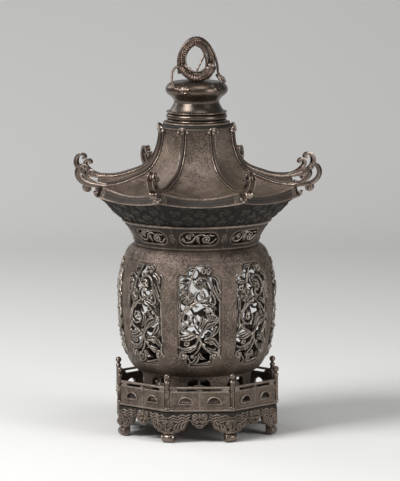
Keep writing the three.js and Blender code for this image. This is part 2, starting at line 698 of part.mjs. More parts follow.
function roofCollar() {
  const top = COLLAR_BOTTOM + COLLAR_HEIGHT;
  const hole = TENON_RADIUS + FIT;
  return turned([
    [hole, COLLAR_BOTTOM],
    [ROOF_TOP_CORNER - 1, COLLAR_BOTTOM],
    [ROOF_TOP_CORNER - 2, COLLAR_BOTTOM + 3],
    [COLLAR_TOP_RADIUS + 1, top - 3],
    [COLLAR_TOP_RADIUS, top],
    [COLLAR_TOP_RADIUS - 5, top],
    [COLLAR_TOP_RADIUS - 5, COLLAR_BOTTOM + 3],
    [hole, COLLAR_BOTTOM + 3],
  ], 2 * SIDES);
}

// Roll along a hip, ending in a tall upturned crescent, a smaller one inside it and a drum below
function hipRidge() {
  const lift = FIT + RIDGE_HEIGHT / 2 + 0.5;
  const panels = roofSweep(7)
    .filter(([radius]) => radius < EAVE_CORNER - BAND_WIDTH / OCT - 15)
    .map(([radius, height]) => [radius, height + eaveShift(radius).up]);
  const [endR, endZ] = [EAVE_CORNER, CREASE + BAND_CORNER_RISE];
  const hip = offset([...panels, [endR - 10, endZ + 0.6], [endR, endZ + 0.2]], lift);
  hip[0][1] -= 1;
  const start = hip.at(-1);
  const at = (out, up) => [endR + out * CURL_REACH, endZ + up * CURL_HEIGHT];
  const roll = ribbon(hip, RIDGE_HEIGHT / 2, RIDGE_HEIGHT / 2, 6);
  const crescent = ribbon([
    [start[0] - 4, start[1] - 0.4],
    at(0.2, 0.06),
    at(0.53, 0.15),
    at(0.78, 0.33),
    at(0.91, 0.58),
    at(0.89, 0.82),
    at(0.79, 0.99),
    at(0.6, 1.06),
    at(0.5, 0.98),
  ], 2.2, 1.6, 10);
  const inner = ribbon([
    [start[0] - 9, start[1] + 0.4],
    at(0.02, 0.24),
    at(0.29, 0.4),
    at(0.43, 0.58),
    at(0.4, 0.73),
    at(0.28, 0.76),
  ], 1.7, 1.5, 6);
  const places = [[0.5, 0.92, 2.7], [0.24, 0.67, 2.4], [0.53, -0.12, 5.2]];
  const balls = places.map(([out, up, radius]) => disc(...at(out, up), radius, 8));
  const scroll = [crescent, inner, ...balls].map((shape) => radialSlab(shape, SCROLL_WIDTH));
  return joined(radialSlab(roll, RIDGE_WIDTH), ...scroll);
}

// Finial

function finialBase() {
  const z = FINIAL_BOTTOM;
  const h = FINIAL_BASE_HEIGHT;
  const torus = FINIAL_TORUS_RADIUS;
  return turned([
    [torus - 5, z],
    [torus - 1.4, z],
    [torus, z + 2.8],
    [torus - 1, z + 5.6],
    [torus - 1.2, z + 7.6],
    [torus + 0.2, z + 10.2],
    [torus - 2.6, z + 12],
    [FINIAL_WAIST + 3, z + h * 0.76],
    [FINIAL_WAIST + 0.6, z + h * 0.9],
    [FINIAL_WAIST, z + h],
    [FINIAL_WAIST - FINIAL_WALL, z + h],
    [FINIAL_WAIST - FINIAL_WALL, z + h * 0.78],
    [torus - 5, z + 9],
  ], 24);
}

function finialKnob() {
  const z = KNOB_BOTTOM;
  const h = KNOB_HEIGHT;
  const stem = TENON_RADIUS;
  return turned([
    [0, ROOF_TOP - 2 * ROOF_WALL - 2],
    [stem, ROOF_TOP - 2 * ROOF_WALL - 2],
    [stem, z],
    [FINIAL_WAIST, z],
    [FINIAL_WAIST + 1, z + h * 0.16],
    [KNOB_RADIUS - 3.4, z + h * 0.38],
    [KNOB_RADIUS, z + h * 0.58],
    [KNOB_RADIUS - 1.4, z + h * 0.78],
    [KNOB_RADIUS - 7, z + h * 0.95],
    [KNOB_RADIUS - 13, z + h],
    [0, z + h],
  ], 24);
}

// A round tube along a closed curve
function closedTube(points, radius, steps, around) {
  const curve = new THREE.CatmullRomCurve3(points, true);
  const section = new THREE.Shape(arc(0, 0, radius, 0, 2 * Math.PI, around).slice(1));
  return new THREE.ExtrudeGeometry(section, { steps, extrudePath: curve });
}

// Loop of the dragon's body standing on its own coil, with the small loop of its tail
function dragonLoop() {
  const standing = arc(0, 0, 1, 0, 2 * Math.PI, 12).slice(1).map(({ x, y }) => {
    const height = LOOP_BOTTOM + LOOP_TUBE + 0.5 + (LOOP_HEIGHT / 2) * (1 + y);
    const spread = y < 0 ? Math.sign(x) * Math.abs(x) ** 0.45 : x * (1 - 0.12 * y);
    return new THREE.Vector3(spread * LOOP_HALF_WIDTH, 0, height);
  });
  const coil = arc(0, 0, COIL_RADIUS, 0, 2 * Math.PI, 12).slice(1).map(({ x, y }) => (
    new THREE.Vector3(x, y * COIL_DEPTH, LOOP_BOTTOM + COIL_TUBE + COIL_RISE * (x / COIL_RADIUS) ** 2)
  ));
  const tail = arc(0, 0, 1, 0, 2 * Math.PI, 8).slice(1).map(({ x, y }) => (
    new THREE.Vector3(-COIL_RADIUS - 5 + x * 5, -6, LOOP_BOTTOM + 9.6 + y * 7.5)
  ));
  return joined(
    closedTube(standing, LOOP_TUBE, 18, 7),
    closedTube(coil, COIL_TUBE, 18, 6),
    closedTube(tail, 1.6, 10, 5),
  );
}

addPiece('stand_deck', deck(), BRONZE);
addPiece('stand_apron', apron(), BRONZE);
addAround('stand_foot', foot(), WORN_BRONZE, TURN / 2);
addAround('rail_post', railPost(), WORN_BRONZE, TURN / 2);
addAround('rail_panel', railPanel(), BRONZE);
addPiece('vessel_foot', vesselFoot(), BRONZE);
addPiece('vessel_shell', vesselShell(), BRONZE);
addAround('window_grille', windowGrille(), WORN_BRONZE);
addPiece('vessel_neck', vesselNeck(), BRONZE);
addAround('cartouche_scroll', cartoucheScroll(), BRONZE);
addPiece('ash_pan', ashPan(), PAN_BRONZE);
addPiece('roof_shell', roofShell(), BRONZE);
addPiece('roof_soffit', roofSoffit(), DARK_BRONZE);
addAround('hip_ridge', hipRidge(), WORN_BRONZE, TURN / 2);
addPiece('roof_collar', roofCollar(), DARK_BRONZE);
addPiece('finial_base', finialBase(), BRONZE);
addPiece('finial_knob', finialKnob(), BRONZE);
addPiece('dragon_loop', dragonLoop(), WORN_BRONZE);

export default burner;
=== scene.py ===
"""Pagoda-shaped incense burner in patinated bronze: stand, pierced vessel, ash pan and roof.

Every length below is in millimetres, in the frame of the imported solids: +Z up, the origin on the
ground under the middle, one face toward -Y. Each sub-assembly is a class that makes its own skins
with numpy and dresses them; a skin reaches Blender in metres.
"""

from __future__ import annotations

import logging
import math
from dataclasses import dataclass
from enum import Enum
from typing import Callable, Iterable, Sequence

import bmesh
import bpy
import numpy as np
from mathutils import Matrix, Vector

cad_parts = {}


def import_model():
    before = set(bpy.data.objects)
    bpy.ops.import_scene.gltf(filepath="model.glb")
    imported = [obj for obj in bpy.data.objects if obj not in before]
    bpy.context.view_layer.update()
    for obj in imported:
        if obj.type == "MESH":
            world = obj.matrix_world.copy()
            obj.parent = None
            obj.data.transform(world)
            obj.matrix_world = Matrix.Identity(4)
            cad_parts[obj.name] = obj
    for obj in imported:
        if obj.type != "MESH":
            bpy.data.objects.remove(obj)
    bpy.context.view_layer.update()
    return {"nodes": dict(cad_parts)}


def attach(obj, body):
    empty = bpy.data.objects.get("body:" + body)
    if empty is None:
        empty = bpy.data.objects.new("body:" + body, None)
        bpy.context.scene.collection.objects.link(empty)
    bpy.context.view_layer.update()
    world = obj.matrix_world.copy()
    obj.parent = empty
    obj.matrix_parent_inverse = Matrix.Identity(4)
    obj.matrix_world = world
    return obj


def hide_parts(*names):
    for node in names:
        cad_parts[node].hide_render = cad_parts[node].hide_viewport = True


LOG = logging.getLogger("burner")
Array = np.ndarray

MM = 0.001
SIDES = 8
TURN = 2 * math.pi / SIDES
HALF = TURN / 2
OCT = math.cos(HALF)
SHARP_EDGE = 50.0
MERGE = 2e-6

# Levels shared with the solids, and the gap between one solid and the next
APRON_TOP = 36.2
DECK_BOTTOM = 36.5
DECK_TOP = 40.5
BARREL_BOTTOM = 74.6
BARREL_TOP = 226.6
NECK_BOTTOM = 226.9
RIM_TOP = 258.0
EAVE_BOTTOM = 284.1
CREASE = 293.8
ROOF_TOP = 366.8
COLLAR_BOTTOM = 367.1
FINIAL_BOTTOM = 374.0
KNOB_BOTTOM = 396.9
LOOP_BOTTOM = 422.5
GAP = 0.3


class Body(Enum):
    """The sections that lift apart."""

    STAND = "stand"
    VESSEL = "vessel"
    PAN = "pan"
    LID = "lid"


# Skins: arrays of points and four-cornered faces


@dataclass
class Skin:
    """Points in millimetres, four-cornered faces, and how high each point stands in its relief (0 to 1)."""

    points: Array
    faces: Array
    lift: Array

    def turned(self, angle: float) -> "Skin":
        """The same skin turned about the Z axis by an angle in radians.

        Args:
            angle: in radians, anticlockwise from above.

        Returns:
            Skin: a new skin.
        """
        c, s = math.cos(angle), math.sin(angle)
        turn = np.array([[c, s, 0.0], [-s, c, 0.0], [0.0, 0.0, 1.0]])
        return Skin(self.points @ turn, self.faces, self.lift)

    def mapped(self, place: Callable[[Array], Array]) -> "Skin":
        """The same skin with its points put through a function."""
        return Skin(place(self.points), self.faces, self.lift)


def joined(skins: Iterable[Skin]) -> Skin:
    """One skin that holds several.

    Args:
        skins: the skins to put together.

    Returns:
        Skin: their points and faces in one set.
    """
    points, faces, lift = [], [], []
    start = 0
    for skin in skins:
        points.append(skin.points)
        faces.append(skin.faces + start)
        lift.append(skin.lift)
        start += len(skin.points)
    return Skin(np.concatenate(points), np.concatenate(faces), np.concatenate(lift))


def around(skin: Skin) -> Skin:
    """The same skin at all eight sides, in one."""
    return joined(skin.turned(k * TURN) for k in range(SIDES))


def lattice(points: Array, lift: Array | float = 1.0, close_rows: bool = False,
            close_columns: bool = False) -> Skin:
    """Skin over a grid of points: each cell of four neighbours is a face.

    Args:
        points: rows by columns by three.
        lift: relief value for each point, or one for all.
        close_rows: whether the last row joins the first.
        close_columns: whether the last column joins the first.

    Returns:
        Skin: the grid's faces.
    """
    rows, columns = points.shape[:2]
    index = np.arange(rows * columns).reshape(rows, columns)
    if close_rows:
        index = np.vstack([index, index[:1]])
    if close_columns:
        index = np.hstack([index, index[:, :1]])
    faces = np.stack([index[:-1, :-1], index[:-1, 1:], index[1:, 1:], index[1:, :-1]], axis=-1).reshape(-1, 4)
    values = np.broadcast_to(np.asarray(lift, float), (rows, columns)).reshape(-1).copy()
    return Skin(points.reshape(-1, 3).astype(float), faces, values)


def smooth_line(points: Sequence[Sequence[float]], count: int) -> Array:
    """Catmull-Rom curve through points, at even steps along its length.

    Args:
        points: corner points in two or three dimensions.
        count: how many points to give.

    Returns:
        Array: count by two or three.
    """
    given = np.asarray(points, float)
    padded = np.vstack([2 * given[0] - given[1], given, 2 * given[-1] - given[-2]])
    spans = len(padded) - 3
    t = np.linspace(0, spans, spans * 24 + 1)
    k = np.minimum(t.astype(int), spans - 1)
    f = (t - k)[:, None]
    a, b, c, d = (padded[k + i] for i in range(4))
    fine = 0.5 * (2 * b + (c - a) * f + (2 * a - 5 * b + 4 * c - d) * f**2 + (3 * b - a - 3 * c + d) * f**3)
    return even_steps(fine, count)


def running_length(line: Array) -> Array:
    """Length of a line of straight pieces up to each of its points."""
    return np.concatenate([[0.0], np.cumsum(np.linalg.norm(np.diff(line, axis=0), axis=1))])


def even_steps(line: Array, count: int) -> Array:
    """Points at even steps along a line of straight pieces.

    Args:
        line: corner points.
        count: how many points to give.

    Returns:
        Array: count by two or three.
    """
    along = running_length(line)
    at = np.linspace(0, along[-1], count)
    return np.stack([np.interp(at, along, line[:, i]) for i in range(line.shape[1])], axis=1)


def turned_profile(profile: Array, segments: int, phase: float = 0.0) -> Skin:
    """Surface of revolution: each profile point (radius, height) swept round the Z axis.

    Args:
        profile: closed loop of points, or a line from axis to axis.
        segments: columns round the axis.
        phase: angle of the first column.

    Returns:
        Skin: the closed skin.
    """
    angle = phase + whole_turn(segments)
    radius, height = profile[:, 0], profile[:, 1]
    points = np.stack([
        radius[:, None] * np.cos(angle),
        radius[:, None] * np.sin(angle),
        np.repeat(height[:, None], segments, axis=1),
    ], axis=-1)
    open_line = radius[0] < 1e-6 and radius[-1] < 1e-6
    return lattice(points, close_rows=not open_line, close_columns=True)


def directions(line: Array, closed: bool = False) -> Array:
    """Unit direction at each point of a line, from its neighbours on both sides.

    Args:
        line: points in two or three dimensions.
        closed: whether its last point meets its first.

    Returns:
        Array: one unit vector to a point.
    """
    if closed:
        step = np.roll(line, -1, axis=0) - np.roll(line, 1, axis=0)
    else:
        step = np.gradient(line, axis=0)
    return step / np.maximum(np.linalg.norm(step, axis=1, keepdims=True), 1e-9)


def normals(line: Array, closed: bool = False) -> Array:
    """Unit normal at each point of a flat line, on its left."""
    along = directions(line, closed)
    return np.stack([-along[:, 1], along[:, 0]], axis=1)


def whole_turn(count: int) -> Array:
    """Angles at even steps round a whole turn."""
    return np.arange(count) * 2 * math.pi / count


def smoothstep(value: Array, low: float, high: float) -> Array:
    """0 below low, 1 above high, and 3t^2 - 2t^3 between."""
    t = np.clip((value - low) / (high - low), 0, 1)
    return t * t * (3 - 2 * t)


def ridge(value: Array, centre: float, width: float) -> Array:
    """A rounded line: exp(-((value - centre) / width)^2)."""
    return np.exp(-((value - centre) / width) ** 2)


def radial(line: Array, across: float = 0.0) -> Array:
    """Points (radius, height) of a radial plane, laid toward -Y."""
    return np.stack([np.full(len(line), across), -line[:, 0], line[:, 1]], axis=1)


def swung(radius: Array, angle: Array, height: Array) -> Array:
    """Points at a radius, an angle from the face toward -Y and a height, in the shape that they broadcast to."""
    return np.stack(np.broadcast_arrays(radius * np.sin(angle), -radius * np.cos(angle), height), axis=-1)


def mirror_outline(half: Array) -> Array:
    """A closed outline from its right half: the half, then its mirror image without the two end points."""
    return np.vstack([half, half[-2:0:-1] * (-1.0, 1.0)])


def capped(rings: Array) -> Array:
    """Rings of points with one more at each end, drawn together at the end ring's middle."""
    middle = np.repeat(rings.mean(axis=1, keepdims=True), rings.shape[1], axis=1)
    return np.concatenate([middle[:1], rings, middle[-1:]])


def tube(line: Array, radius: Array | float, section: Array, up: Sequence[float], closed: bool = False,
         lift: Array | float = 1.0) -> Skin:
    """A section carried along a line. The section's first axis lies along direction x up, its second
    completes the frame; an open tube's ends close to a point.

    Args:
        line: points in three dimensions.
        radius: factor on the section at each point, or one for all.
        section: closed loop in two dimensions, in units of the radius.
        up: a direction that is never along the line.
        closed: whether the line returns to its start.
        lift: relief value of each point of the section, or one for all.

    Returns:
        Skin: the closed skin.
    """
    along = directions(line, closed)
    side = np.cross(along, np.asarray(up, float))
    side /= np.linalg.norm(side, axis=1, keepdims=True)
    over = np.cross(side, along)
    size = np.broadcast_to(np.asarray(radius, float), (len(line),))
    if not closed:
        line = np.vstack([line[:1], line, line[-1:]])
        side = np.vstack([side[:1], side, side[-1:]])
        over = np.vstack([over[:1], over, over[-1:]])
        size = np.concatenate([[0.0], size, [0.0]])
    points = (line[:, None, :] + size[:, None, None] * (
        section[None, :, :1] * side[:, None, :] + section[None, :, 1:] * over[:, None, :]))
    return lattice(points, lift, close_rows=closed, close_columns=True)


def circle(count: int) -> Array:
    """Closed unit circle, as a section."""
    angle = whole_turn(count)
    return np.stack([np.cos(angle), np.sin(angle)], axis=1)


def round_tube(line: Array, radius: Array | float, up: Sequence[float], sides: int = 12) -> Skin:
    """A round bar along a line."""
    return tube(line, radius, circle(sides), up)


def ball(centre: Sequence[float], radius: float, rows: int = 10, squash: Sequence[float] = (1, 1, 1)) -> Skin:
    """A ball or egg: a half circle swept round its own upright axis.

    Args:
        centre: its middle.
        radius: its size.
        rows: rows from pole to pole.
        squash: scale along X, Y and Z.

    Returns:
        Skin: the closed ball.
    """
    angle = np.linspace(-math.pi / 2, math.pi / 2, rows)
    profile = np.stack([np.cos(angle) * radius, np.sin(angle) * radius], axis=1)
    profile[[0, -1], 0] = 0
    skin = turned_profile(profile, 2 * rows)
    return skin.mapped(lambda points: points * np.asarray(squash, float) + np.asarray(centre, float))


# Ornament drawn flat: strokes, scrolls and leaves


@dataclass
class Stroke:
    """A line in a flat sheet with a half width at each point."""

    line: Array
    half: Array
    height: float = 1.0

    def moved(self, x: float, y: float, angle: float = 0.0, scale: float = 1.0, mirror: bool = False) -> "Stroke":
        """The same stroke scaled, mirrored, turned and moved in its sheet.

        Args:
            x: how far to the right.
            y: how far up.
            angle: turn in radians.
            scale: size of the copy.
            mirror: whether it is flipped left to right.

        Returns:
            Stroke: the copy.
        """
        line = self.line * scale * np.array([-1.0 if mirror else 1.0, 1.0])
        c, s = math.cos(angle), math.sin(angle)
        return Stroke(line @ np.array([[c, s], [-s, c]]) + np.array([x, y]), self.half * scale, self.height)


def stroke(points: Sequence[Sequence[float]], start: float, end: float, middle: float | None = None,
           count: int = 24, height: float = 1.0) -> Stroke:
    """A smooth stroke through points whose half width runs from start through middle to end.

    Args:
        points: corner points in the sheet.
        start: half width at the start.
        end: half width at the end.
        middle: half width halfway.
        count: how many points.
        height: height of its crown.

    Returns:
        Stroke: the drawn stroke.
    """
    along = np.linspace(0, 1, count)
    centre = (start + end) / 2 if middle is None else middle
    half = start * (1 - along) ** 2 + end * along**2 + (4 * centre - start - end) * along * (1 - along)
    return Stroke(smooth_line(points, count), half, height)


def spiral(x: float, y: float, outer: float, inner: float, start: float, turns: float, half: float,
           tip: float | None = None, count: int = 30, height: float = 1.0) -> Stroke:
    """A stroke that winds inward: radius falls evenly with angle.

    Args:
        x: centre across.
        y: centre up.
        outer: first radius.
        inner: last radius.
        start: first angle.
        turns: turns, negative for clockwise.
        half: half width at the outside.
        tip: half width at the inside.
        count: points on the stroke.
        height: relief height.

    Returns:
        Stroke: the winding stroke.
    """
    f = np.linspace(0, 1, count)
    angle = start + f * turns * 2 * math.pi
    radius = outer + (inner - outer) * f
    line = np.stack([x + radius * np.cos(angle), y + radius * np.sin(angle)], axis=1)
    end = half if tip is None else tip
    return Stroke(line, half + (end - half) * f, height)


def stroke_height(u: Array, v: Array, strokes: Sequence[Stroke]) -> Array:
    """Height of half-round strokes over a sheet: at each point the tallest height * sqrt(1 - (distance / half)^2).

    Args:
        u: first sheet coordinate of each point.
        v: second sheet coordinate.
        strokes: the strokes drawn on the sheet.

    Returns:
        Array: a height for each point, 0 off the strokes.
    """
    flat = np.stack([u.ravel(), v.ravel()], axis=1)
    tall = np.zeros(len(flat))
    for one in strokes:
        reach = one.half.max()
        low, high = one.line.min(0) - reach, one.line.max(0) + reach
        near = np.flatnonzero(((flat >= low) & (flat <= high)).all(axis=1))
        if not len(near):
            continue
        a, b = one.line[:-1], one.line[1:]
        step = b - a
        length = np.maximum((step**2).sum(1), 1e-12)
        away = flat[near][:, None, :] - a[None]
        part = np.clip((away * step[None]).sum(2) / length, 0, 1)
        gap = np.linalg.norm(away - part[..., None] * step[None], axis=2)
        half = one.half[:-1] + part * np.diff(one.half)
        share = gap / np.maximum(half, 1e-6)
        best = share.min(axis=1)
        tall[near] = np.maximum(tall[near], one.height * np.sqrt(np.clip(1 - best**2, 0, 1)))
    return tall.reshape(u.shape)


def cloud_scroll(scale: float = 1.0, half: float = 0.9) -> list[Stroke]:
    """A cloud head: two curls that meet over a trailing tail, about 16 wide and 12 high at scale 1.

    Args:
        scale: size of the head.
        half: half width of its lines.

    Returns:
        list[Stroke]: its strokes.
    """
    left = spiral(-3.4, 0.4, 3.9, 0.7, -0.4, 1.25, half, half * 0.8)
    right = spiral(3.4, 0.4, 3.9, 0.7, math.pi + 0.4, -1.25, half, half * 0.8)
    crown = stroke([(-6.6, 1.2), (-4.4, 5.0), (0, 3.4), (4.4, 5.0), (6.6, 1.2)], half * 0.7, half * 0.7, half)
    tail = stroke([(0, -0.6), (-1.4, -3.6), (-5.6, -5.0), (-9.0, -3.4)], half, half * 0.4)
    return [one.moved(0, 0, 0, scale) for one in (left, right, crown, tail)]


# From skins to dressed objects


def wear_values(mesh: bpy.types.Mesh) -> Array:
    """Curvature at each point: mean of (neighbour - point) . normal / distance^2, -1 in hollows, 1 on edges.

    Args:
        mesh: a mesh in metres with its edges worked out.

    Returns:
        Array: one value for each point.
    """
    count = len(mesh.vertices)
    place = np.empty(count * 3, np.float32)
    mesh.vertices.foreach_get("co", place)
    place = place.reshape(-1, 3).astype(float) / MM
    normal = np.empty(count * 3, np.float32)
    mesh.vertices.foreach_get("normal", normal)
    normal = normal.reshape(-1, 3).astype(float)
    ends = np.empty(len(mesh.edges) * 2, np.int32)
    mesh.edges.foreach_get("vertices", ends)
    a, b = ends.reshape(-1, 2).T
    step = place[b] - place[a]
    square = np.maximum((step**2).sum(1), 1e-4)
    number = np.maximum(np.bincount(a, minlength=count) + np.bincount(b, minlength=count), 1)
    bend = (np.bincount(a, -(step * normal[a]).sum(1) / square, count)
            + np.bincount(b, (step * normal[b]).sum(1) / square, count)) / number
    value = np.tanh(bend * 2.2)
    for _ in range(2):
        mean = (np.bincount(a, value[b], count) + np.bincount(b, value[a], count)) / number
        value = 0.5 * value + 0.5 * mean
    return value


def make_mesh(name: str, skin: Skin) -> bpy.types.Mesh:
    """A Blender mesh in metres from a skin: merged, facing outward, smooth but for its sharp edges.

    Args:
        name: the mesh's name.
        skin: its points and faces.

    Returns:
        bpy.types.Mesh: the mesh, with point attributes lift and wear.
    """
    mesh = bpy.data.meshes.new(name)
    mesh.vertices.add(len(skin.points))
    mesh.vertices.foreach_set("co", (skin.points * MM).astype(np.float32).ravel())
    mesh.loops.add(4 * len(skin.faces))
    mesh.loops.foreach_set("vertex_index", skin.faces.astype(np.int32).ravel())
    mesh.polygons.add(len(skin.faces))
    mesh.polygons.foreach_set("loop_start", np.arange(0, 4 * len(skin.faces), 4, dtype=np.int32))
    mesh.update(calc_edges=True)
    lift = mesh.attributes.new("lift", "FLOAT", "POINT")
    lift.data.foreach_set("value", skin.lift.astype(np.float32))
    work = bmesh.new()
    work.from_mesh(mesh)
    bmesh.ops.remove_doubles(work, verts=work.verts, dist=MERGE)
    bmesh.ops.recalc_face_normals(work, faces=work.faces)
    work.to_mesh(mesh)
    work.free()
    mesh.polygons.foreach_set("use_smooth", np.ones(len(mesh.polygons), bool))
    mesh.set_sharp_from_angle(angle=math.radians(SHARP_EDGE))
    mesh.update()
    wear = mesh.attributes.new("wear", "FLOAT", "POINT")
    wear.data.foreach_set("value", wear_values(mesh).astype(np.float32))
    return mesh


class Maker:
    """Puts finished skins into the scene and keeps count of them."""

    def __init__(self, materials: dict["Finish", bpy.types.Material]) -> None:
        """Keeps the finishes that pieces are dressed in."""
        self.materials = materials
        self.made: list[str] = []

    def place(self, name: str, mesh: bpy.types.Mesh, body: Body, finish: "Finish", node: str) -> None:
        """Links a mesh as a piece that rides on a body and stands for a solid.

        Args:
            name: the piece's name.
            mesh: its finished mesh, in place.
            body: the section it moves with.
            finish: the finish it is dressed in.
            node: name of the solid it stands for.
        """
        mesh.materials.clear()
        mesh.materials.append(self.materials[finish])
        piece = bpy.data.objects.new(name, mesh)
        bpy.context.scene.collection.objects.link(piece)
        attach(piece, body.value)
        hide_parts(node)
        self.made.append(name)
        LOG.info("%s: %d faces, on %s", name, len(mesh.polygons), body.value)

    def one(self, name: str, skin: Skin, body: Body, finish: "Finish", node: str) -> None:
        """Makes a single piece from a skin."""
        self.place(name, make_mesh(name, skin), body, finish, node)

    def eight(self, name: str, skin: Skin, body: Body, finish: "Finish", node: str, phase: float = 0.0) -> None:
        """Makes the same piece at all eight sides.

        Args:
            name: the pieces' name, which a number follows.
            skin: the first one's skin, as it would stand on the face toward -Y.
            body: the section they move with.
            finish: the finish they are dressed in.
            node: name of the solids they stand for, without its number.
            phase: angle from the face toward -Y to the first one.
        """
        base = make_mesh(name, skin)
        for k in range(SIDES):
            mesh = base.copy()
            mesh.name = f"{name}_{k + 1}"
            mesh.transform(Matrix.Rotation(phase + k * TURN, 4, "Z"))
            self.place(mesh.name, mesh, body, finish, f"{node}_{k + 1}")
        bpy.data.meshes.remove(base)


# Finishes


class Finish(Enum):
    """Kinds of surface on the burner."""

    PITTED = "pitted_taupe"
    SMOOTH = "smooth_brown"
    SHADOWED = "blackened"
    VINE = "grey_vine"
    WARM = "warm_worn"
    FIRED = "fire_dulled"


Colour = tuple[float, float, float, float]
Place = tuple[float, float, float]


@dataclass(frozen=True)
class BronzeFinish:
    """How one kind of bronze surface looks: the record's slot, its patina, light edges from wear and painted
    highlight, hollows darkened by grime and painted shade, and grain.
    """

    slot: str
    body: Colour
    shade: Colour
    tint: Colour
    rubbed_sheen: Colour
    shade_grime: Colour
    roughness: float
    metallic: float
    stipple: float
    rub_sheen: float


# In each: slot, body, shade and tint, then the light edge colour (wear and painted highlight) and the hollows'
# colour (grime and painted shade), then roughness, metallic, stipple and the amount of edge lightening
FINISHES = {
    Finish.PITTED: BronzeFinish(
        "bronze", (0.300, 0.228, 0.186, 1), (0.070, 0.050, 0.038, 1), (0.140, 0.108, 0.066, 1),
        (0.560, 0.475, 0.410, 1), (0.012, 0.009, 0.007, 1), 0.38, 0.60, 0.30, 0.8),
    Finish.SMOOTH: BronzeFinish(
        "bronze", (0.130, 0.104, 0.084, 1), (0.082, 0.067, 0.054, 1), (0.170, 0.112, 0.082, 1),
        (0.420, 0.300, 0.235, 1), (0.010, 0.008, 0.006, 1), 0.25, 0.85, 0.01, 0.8),
    # The soffit's and collar's finish: its near-black body is painted shade under the eave and round the finial's
    # foot, and its light edge colour is a painted highlight on the relief's crests.
    Finish.SHADOWED: BronzeFinish(
        "dark_bronze", (0.022, 0.016, 0.011, 1), (0.008, 0.006, 0.004, 1), (0.020, 0.016, 0.010, 1),
        (0.420, 0.330, 0.250, 1), (0.001, 0.001, 0.001, 1), 0.52, 0.25, 0.10, 1.0),
    Finish.VINE: BronzeFinish(
        "worn_bronze", (0.180, 0.150, 0.126, 1), (0.060, 0.049, 0.040, 1), (0.120, 0.106, 0.074, 1),
        (0.600, 0.525, 0.460, 1), (0.006, 0.005, 0.004, 1), 0.30, 0.65, 0.08, 0.9),
    Finish.WARM: BronzeFinish(
        "worn_bronze", (0.150, 0.098, 0.074, 1), (0.045, 0.028, 0.021, 1), (0.110, 0.074, 0.052, 1),
        (0.600, 0.500, 0.425, 1), (0.008, 0.005, 0.004, 1), 0.26, 0.75, 0.06, 0.9),
    Finish.FIRED: BronzeFinish(
        "pan_bronze", (0.100, 0.085, 0.072, 1), (0.055, 0.046, 0.039, 1), (0.080, 0.060, 0.046, 1),
        (0.240, 0.180, 0.130, 1), (0.016, 0.013, 0.011, 1), 0.55, 0.6, 0.14, 0.5),
}


class Graph:
    """Small helper that adds and links nodes in one tree."""

    def __init__(self, tree: bpy.types.NodeTree) -> None:
        """Keeps the tree."""
        self.tree = tree

    def feed(self, socket: bpy.types.NodeSocket, value: object) -> None:
        """Links an output to an input, or sets the input's constant.

        Args:
            socket: the input.
            value: an output, or the constant.
        """
        if isinstance(value, bpy.types.NodeSocket):
            self.tree.links.new(value, socket)
        else:
            socket.default_value = value

    def add(self, kind: str, **inputs: object) -> bpy.types.Node:
        """Adds a node; names with a leading underscore set its properties, the others its inputs.

        Args:
            kind: the node's type.
            inputs: values or output sockets by input name, spaces as underscores.

        Returns:
            bpy.types.Node: the new node.
        """
        node = self.tree.nodes.new(kind)
        for key, value in inputs.items():
            if key.startswith("_"):
                setattr(node, key[1:], value)
        for key, value in inputs.items():
            if not key.startswith("_"):
                numbered = key[0] == "i" and key[1:].isdigit()
                self.feed(node.inputs[int(key[1:]) if numbered else key.replace("_", " ")], value)
        return node

    def math(self, operation: str, *values: object, clamp: bool = False) -> bpy.types.NodeSocket:
        """A maths node's result."""
        named = {f"i{i}": value for i, value in enumerate(values)}
        return self.add("ShaderNodeMath", _operation=operation, _use_clamp=clamp, **named).outputs[0]

    def mix(self, factor: object, a: object, b: object) -> bpy.types.NodeSocket:
        """A colour mixed from two.

        Args:
            factor: share of b.
            a: first colour.
            b: second colour.

        Returns:
            bpy.types.NodeSocket: the mixed colour.
        """
        node = self.add("ShaderNodeMix", _data_type="RGBA")
        for index, value in ((0, factor), (6, a), (7, b)):
            self.feed(node.inputs[index], value)
        return node.outputs[2]

    def range(self, value: object, low: float, high: float, to_low: float = 0.0,
              to_high: float = 1.0) -> bpy.types.NodeSocket:
        """A value moved from one range to another, and kept inside it."""
        return self.add("ShaderNodeMapRange", i0=value, i1=low, i2=high, i3=to_low, i4=to_high).outputs[0]


def new_group(name: str, inputs: Sequence[tuple[str, str, object]], outputs: Sequence[tuple[str, str]]
              ) -> tuple[bpy.types.NodeTree, Graph, bpy.types.Node, bpy.types.Node]:
    """A shader node group with named inputs and outputs.

    Args:
        name: the group's name.
        inputs: name, socket type and first value of each input.
        outputs: name and socket type of each output.

    Returns:
        tuple: the tree, its graph, and its input and output nodes.
    """
    tree = bpy.data.node_groups.new(name, "ShaderNodeTree")
    for label, kind, value in inputs:
        socket = tree.interface.new_socket(label, in_out="INPUT", socket_type=kind)
        socket.default_value = value
    for label, kind in outputs:
        tree.interface.new_socket(label, in_out="OUTPUT", socket_type=kind)
    return tree, Graph(tree), tree.nodes.new("NodeGroupInput"), tree.nodes.new("NodeGroupOutput")


